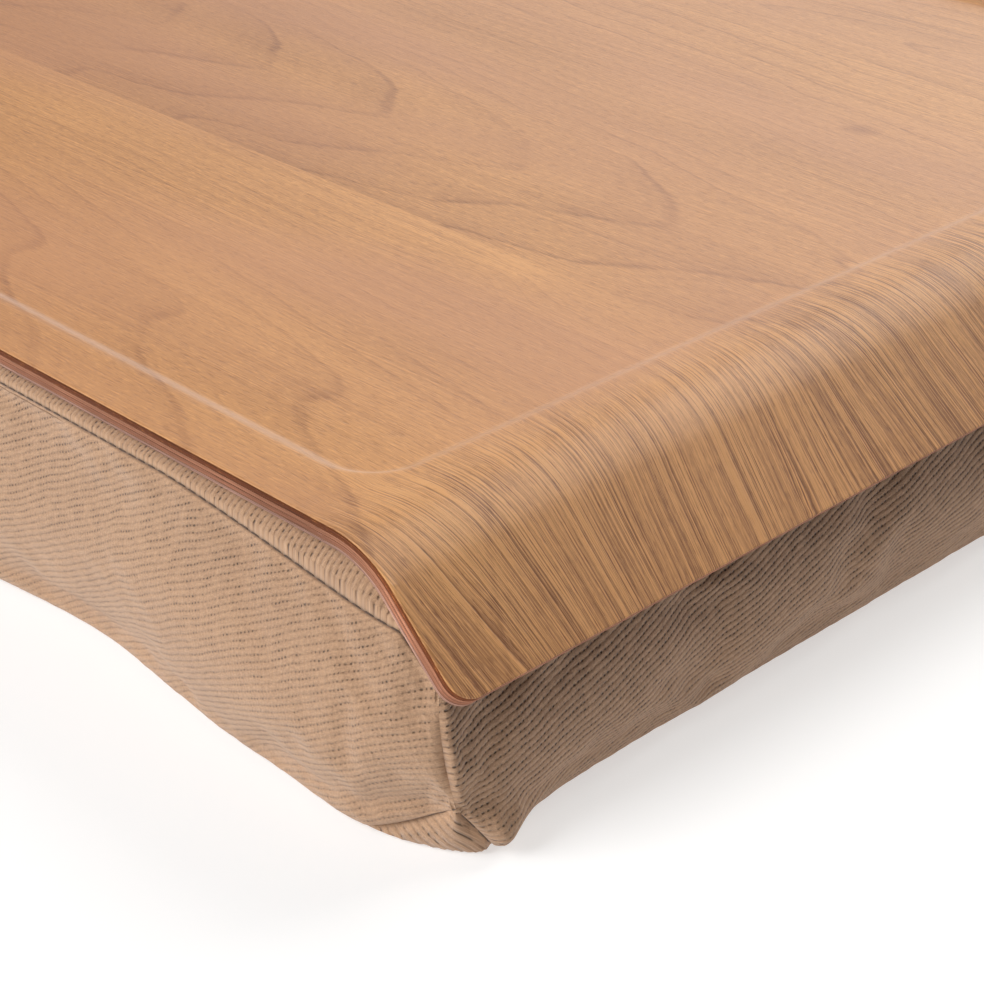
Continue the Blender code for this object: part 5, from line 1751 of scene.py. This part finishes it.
def build_threads():
    """Seam thread round the whole cover, and the topstitching along the zip."""
    dark = thread_finish("seam_thread", (0.10, 0.055, 0.032))
    light = thread_finish("topstitch_thread", (0.42, 0.28, 0.18))
    rows = [stitches(path, SEAM_STITCH, SEAM_STITCH_GAP, THREAD) for path in seam_paths()]
    add_piece("seam_thread", *joined(*rows), dark, "cushion", "twill")
    rows = [stitches(path, TOP_STITCH, TOP_STITCH_GAP, THREAD) for path in zip_edge_paths()]
    add_piece("zip_topstitching", *joined(*rows), light, "cushion", "twill")


build_threads()

# %% [markdown]
# ## The zip
# A nylon zip has two woven tapes, a coil of stiff thread sewn along each, and a metal slider that runs
# on both. Each coil is a helix whose turns reach between those of the other. The slider is two plates
# round a post, with a bridge for the pull, and the pull is a loop and a leaf in one.

# %% Zip sizes
COIL_HALF = ZIP_HALF - 0.002 - TOUCH_GAP
COIL_SEAT = ZIP_FACE - CLOTH
COIL_PITCH = 0.00125
COIL_WIRE = 0.00026
COIL_NEAR = 0.00036
COIL_FAR = COIL_SPACE / 2 + COIL_WIDTH
TAPE_THICKNESS = 0.0005
TAPE_WIDTH = 0.008
TAPE_HALF = ZIP_HALF + 0.005
STOP_HALF = 0.001
POST_HALF = 0.0015
LOOP_STEPS = 48
PULL_LOOP = 0.0042
LEAF_TIP = 0.001
UPPER_WING = COIL_SEAT + COIL_THICKNESS + TOUCH_GAP
LOWER_WING = COIL_SEAT - TOUCH_GAP - TAPE_THICKNESS - TOUCH_GAP
PULL_AXIS = UPPER_WING + WING + BRIDGE_WINDOW / 2
slider_low, slider_high = (np.array(corner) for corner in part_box("zip_slider"))
pull_low, pull_high = (np.array(corner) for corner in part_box("zip_pull"))
SLIDER_X = float(slider_low[0] + slider_high[0]) / 2
PULL_HINGE = float(pull_low[0]) + 0.0005

# %% Zip finishes and pieces


def metal_finish():
    """Satin nickel: a faint brushing along the slider."""
    material, tree, shader = new_finish("nickel", Metallic=1.0, Roughness=0.32)
    brushed = grain_noise(tree, object_place(tree), (500, 9000, 9000), 2, 0.6)
    colour = mixed(tree, brushed, (0.50, 0.48, 0.45, 1), (0.66, 0.64, 0.60, 1))
    feed(tree, shader.inputs["Base Color"], colour)
    feed(tree, shader.inputs["Roughness"], ranged(tree, brushed, 0.3, 0.7, 0.26, 0.42))
    return material


def nylon_finish():
    """Smooth stiff nylon thread."""
    material, tree, shader = new_finish("coil_nylon", Roughness=0.38)
    uneven = grain_noise(tree, object_place(tree), (900, 900, 900), 2, 0.5)
    colour = mixed(tree, uneven, (0.48, 0.36, 0.25, 1), (0.60, 0.47, 0.34, 1))
    feed(tree, shader.inputs["Base Color"], colour)
    return material


def build_coil(word, sign, finish):
    """One row of teeth: an elliptic helix along X, drawn out towards the middle of the zip.

    y = middle + h cos a and z = middle + w sin a, with x growing by one pitch as a turns once. The other
    row is half a pitch further on.
    """
    wide = (COIL_FAR - COIL_NEAR) / 2 - COIL_WIRE
    deep = COIL_THICKNESS / 2 - COIL_WIRE
    run = 2 * (COIL_HALF - COIL_WIRE)
    turns = int(run / COIL_PITCH)
    angle = np.linspace(0, 2 * math.pi * turns, 12 * turns + 1) + (math.pi if sign < 0 else 0)
    x = np.linspace(-COIL_HALF + COIL_WIRE, COIL_HALF - COIL_WIRE, len(angle))
    y = COIL_SEAT + COIL_THICKNESS / 2 + deep * np.cos(angle)
    z = ZIP_HEIGHT + sign * ((COIL_FAR + COIL_NEAR) / 2 + wide * np.sin(angle))
    points, quads = tube(np.stack([x, y, z], axis=-1), COIL_WIRE, 6, (1.0, 0.0, 0.0))
    name = f"zip_teeth_{word}"
    add_piece(name, points, outward(points, quads), finish, "cushion", "teeth", [name])


def build_tape(word, sign, finish):
    """A tape behind a band's edge, which follows the back's face."""
    away = np.linspace(COIL_SPACE / 2 + GLUE_LINE, TAPE_WIDTH, 13)
    xs = np.linspace(-TAPE_HALF, TAPE_HALF, 160)
    drop = (SIDE_TOP - ZIP_HEIGHT - sign * away) / (SIDE_TOP - SOLID_SEAM_HEIGHT)
    face = HALF_Y + back_out(0.0, drop) - CLOTH - TOUCH_GAP
    front = np.stack([face, ZIP_HEIGHT + sign * away], axis=-1)
    behind = front - np.array([TAPE_THICKNESS, 0])
    section = np.concatenate([front, behind[::-1]])
    rings = np.concatenate([
        np.broadcast_to(xs[:, None, None], (len(xs), len(section), 1)),
        np.broadcast_to(section[None], (len(xs), *section.shape)),
    ], axis=-1)
    points, quads = loft(rings)
    name = f"zip_tape_{word}"
    add_piece(name, points, outward(points, quads), finish, "cushion", "tape", [name])


def build_stops(finish):
    """The two end stops: small moulded blocks across both rows."""
    outline = rounded_outline(STOP_HALF, COIL_FAR, 0.0006)
    for word, sign in (("closed", -1), ("open", 1)):
        middle = np.array([sign * (COIL_HALF + TOUCH_GAP + STOP_HALF), ZIP_HEIGHT])
        points, quads = plate(outline + middle, COIL_SEAT, COIL_SEAT + COIL_THICKNESS, 0.0003, axis=1)
        name = f"zip_stop_{word}_end"
        add_piece(name, points, quads, finish, "cushion", "teeth", [name])


def strap(path, half_width, half_thickness):
    """A bent strap: a rounded rectangle carried along a path in the plane of x and y."""
    ahead = unit(np.gradient(path, axis=0))
    normal = np.stack([-ahead[:, 1], ahead[:, 0], np.zeros(len(path))], axis=-1)
    section = rounded_outline(half_width, half_thickness, 0.6 * half_thickness, 3)
    level = np.array([0.0, 0.0, 1.0])
    rings = path[:, None] + section[None, :, :1] * level + section[None, :, 1:] * normal[:, None]
    points, quads = loft(rings)
    return points, outward(points, quads)


def build_slider(finish):
    """Two wings that taper towards the tail, a post between them, and the bridge."""
    length, width = slider_high[0] - slider_low[0], slider_high[2] - slider_low[2]
    shape = rounded_outline(length / 2, width / 2, width / 4)
    taper = 1 - 0.10 * smooth_step(shape[:, 0] / length + 0.5)
    outline = np.stack([shape[:, 0], shape[:, 1] * taper], axis=-1) + np.array([SLIDER_X, ZIP_HEIGHT])
    upper = plate(outline, UPPER_WING, UPPER_WING + WING, 0.00025, axis=1)
    lower = plate(outline, LOWER_WING - WING, LOWER_WING, 0.00025, axis=1)
    nose = float(slider_low[0]) + width / 4
    post_outline = rounded_outline(POST_HALF, 0.0003, 0.0002) + np.array([nose + POST_HALF, ZIP_HEIGHT])
    post = plate(post_outline, LOWER_WING - WING / 2, UPPER_WING + WING / 2, 0.0001, axis=1)
    angle = np.linspace(math.pi, 0, 17)
    power = 0.45
    reach = np.sign(np.cos(angle)) * np.abs(np.cos(angle)) ** power * (0.003 - WING / 2)
    climb = np.sin(angle) ** power * (BRIDGE_WINDOW + WING / 2)
    foot = UPPER_WING + WING
    bow = np.stack([SLIDER_X + reach, foot + climb, np.full(17, ZIP_HEIGHT)], axis=-1)
    bow = np.concatenate([bow[:1] - [0, WING / 2, 0], bow, bow[-1:] - [0, WING / 2, 0]])
    bridge = strap(bow, 0.0008, WING / 2)
    add_piece("zip_slider", *joined(upper, lower, post, bridge), finish, "slider", "metal", ["zip_slider"])


def build_pull(finish):
    """The pull: a loop of wire whose end bar lies in the bridge, and a leaf with a waist."""
    half, thick = float(pull_high[2] - pull_low[2]) / 2, 0.0005
    end = float(pull_high[0])
    loop_end = PULL_HINGE + PULL_LOOP
    turn = np.linspace(0, 2 * math.pi, LOOP_STEPS + 1)[:-1]
    power = 0.5
    rim = 0.0006
    cos, sin = np.cos(turn), np.sin(turn)
    middle = (PULL_HINGE + loop_end) / 2
    x = middle + np.sign(cos) * np.abs(cos) ** power * (loop_end - PULL_HINGE) / 2
    z = ZIP_HEIGHT + np.sign(sin) * np.abs(sin) ** power * (half - rim)
    path = np.stack([x, np.full(LOOP_STEPS, PULL_AXIS), z], axis=-1)
    ahead = unit(np.roll(path, -1, axis=0) - np.roll(path, 1, axis=0))
    side = np.stack([-ahead[:, 2], 0 * ahead[:, 1], ahead[:, 0]], axis=-1)
    wire = path[:, None] + circles(side * rim, np.broadcast_to([0.0, thick, 0.0], path.shape), 8)
    number = np.arange(wire[..., 0].size).reshape(wire.shape[:2])
    after = np.roll(number, -1, 0)
    quads = np.stack([number, np.roll(number, -1, 1), np.roll(after, -1, 1), after], axis=-1).reshape(-1, 4)
    wire = wire.reshape(-1, 3)
    loop = wire, outward(wire, quads)
    share = np.linspace(0, 1, 15)
    waist_of_leaf = half * (0.92 - 0.30 * np.sin(math.pi * share) ** 2)
    start = loop_end - rim
    stations = start + (end - start - LEAF_TIP) * share
    side_line = np.stack([stations, waist_of_leaf], axis=-1)
    round_end = np.linspace(math.pi / 2, -math.pi / 2, 13)[1:-1]
    tip_x = stations[-1] + LEAF_TIP * np.cos(round_end)
    tip = np.stack([tip_x, waist_of_leaf[-1] * np.sin(round_end)], axis=-1)
    outline = np.concatenate([side_line, tip, side_line[::-1] * [1, -1]])
    outline = outline[:len(outline) // 2 * 2] + np.array([0, ZIP_HEIGHT])
    leaf = plate(outline, PULL_AXIS - thick, PULL_AXIS + thick, 0.0003, axis=1)
    add_piece("zip_pull", *joined(loop, leaf), finish, "pull", "metal", ["zip_pull"])


def build_zip():
    """All of the zip."""
    nylon, metal = nylon_finish(), metal_finish()
    tape = strip_finish("zip_tape", (0.50, 0.37, 0.26), (0.34, 0.24, 0.16))
    for word, sign in (("upper", 1), ("lower", -1)):
        build_coil(word, sign, nylon)
        build_tape(word, sign, tape)
    build_stops(nylon)
    build_slider(metal)
    build_pull(metal)


build_zip()

# %% [markdown]
# ## Camera
# The camera stands where the photographer's did. Its place was found from the picture's vanishing
# points: low, near the corner, with a long lens.

# %% Camera
camera_data = bpy.data.cameras.new("camera")
camera_data.lens = 86.9
camera_data.sensor_width = 36.0
camera_data.clip_start = 0.01
camera = placed("camera", camera_data)
camera.location = (0.4839, -0.4227, 0.2766)
camera.rotation_euler = (math.radians(61.2), 0.0, math.radians(45.7))
bpy.context.scene.camera = camera

# %% [markdown]
# ## Floor and light
# The desk stands on a plain white sweep. A large soft light in front and a little to the left lights the
# front of the cushion, and another, high behind the desk, draws the bright band along the bent end. The
# surroundings glow only at the back, which gives the flat face its sheen. The right side gets little but
# what the floor throws back, which is why it is darker; its cloth is also darkened by painted shade.

# %% Floor, lights and surroundings
FLOOR_REACH = 3.0
LIGHT_DISTANCE = 1.9
SHEEN_DIRECTION = (-0.31, 0.95, 0.0)


def build_floor():
    """A wide white floor that glows a little, as an evenly lit sweep does."""
    corners = FLOOR_REACH * np.array([[-1, -1, 0], [1, -1, 0], [1, 1, 0], [-1, 1, 0]], float)
    mesh = bpy.data.meshes.new("floor")
    mesh.from_pydata(corners, [], [[0, 1, 2, 3]])
    glow = {"Emission_Color": (1, 1, 1, 1), "Emission_Strength": 0.55}
    material = new_finish("floor", Base_Color=(0.55, 0.55, 0.55, 1), Roughness=0.9, **glow)[0]
    mesh.materials.append(material)
    floor = placed("floor", mesh)
    floor.location = (0, 0, -0.0002)


def add_softbox(name, direction, distance, size, power, colour=(1, 1, 1)):
    """A square area light at a distance in a direction, turned to the desk."""
    lamp = bpy.data.lights.new(name, "AREA")
    lamp.size = size
    lamp.energy = power
    lamp.color = colour
    light = placed(name, lamp)
    place = unit(np.array(direction, float)) * distance
    light.location = place
    heading = math.atan2(place[0], -place[1])
    tilt = math.atan2(math.hypot(place[0], place[1]), place[2])
    light.rotation_euler = (tilt, 0, heading)


build_floor()
add_softbox("front_softbox", (-0.19, -0.79, 0.58), LIGHT_DISTANCE, 1.2, 34)
add_softbox("back_softbox", (0.11, 0.65, 0.75), LIGHT_DISTANCE, 1.4, 24, (1.0, 0.96, 0.91))
world = bpy.data.worlds.new("studio")
world.use_nodes = True
sky_tree = world.node_tree
toward = sky_tree.nodes.new("ShaderNodeVectorMath")
toward.operation = "DOT_PRODUCT"
toward.inputs[1].default_value = SHEEN_DIRECTION
sky_tree.links.new(sky_tree.nodes.new("ShaderNodeTexCoord").outputs["Generated"], toward.inputs[0])
background = sky_tree.nodes["Background"]
background.inputs["Color"].default_value = (1, 1, 1, 1)
glow = ranged(sky_tree, toward.outputs["Value"], 0.60, 0.98, 0.05, 2.0, True)
feed(sky_tree, background.inputs["Strength"], glow)
bpy.context.scene.world = world
bpy.context.scene.view_settings.view_transform = "Standard"
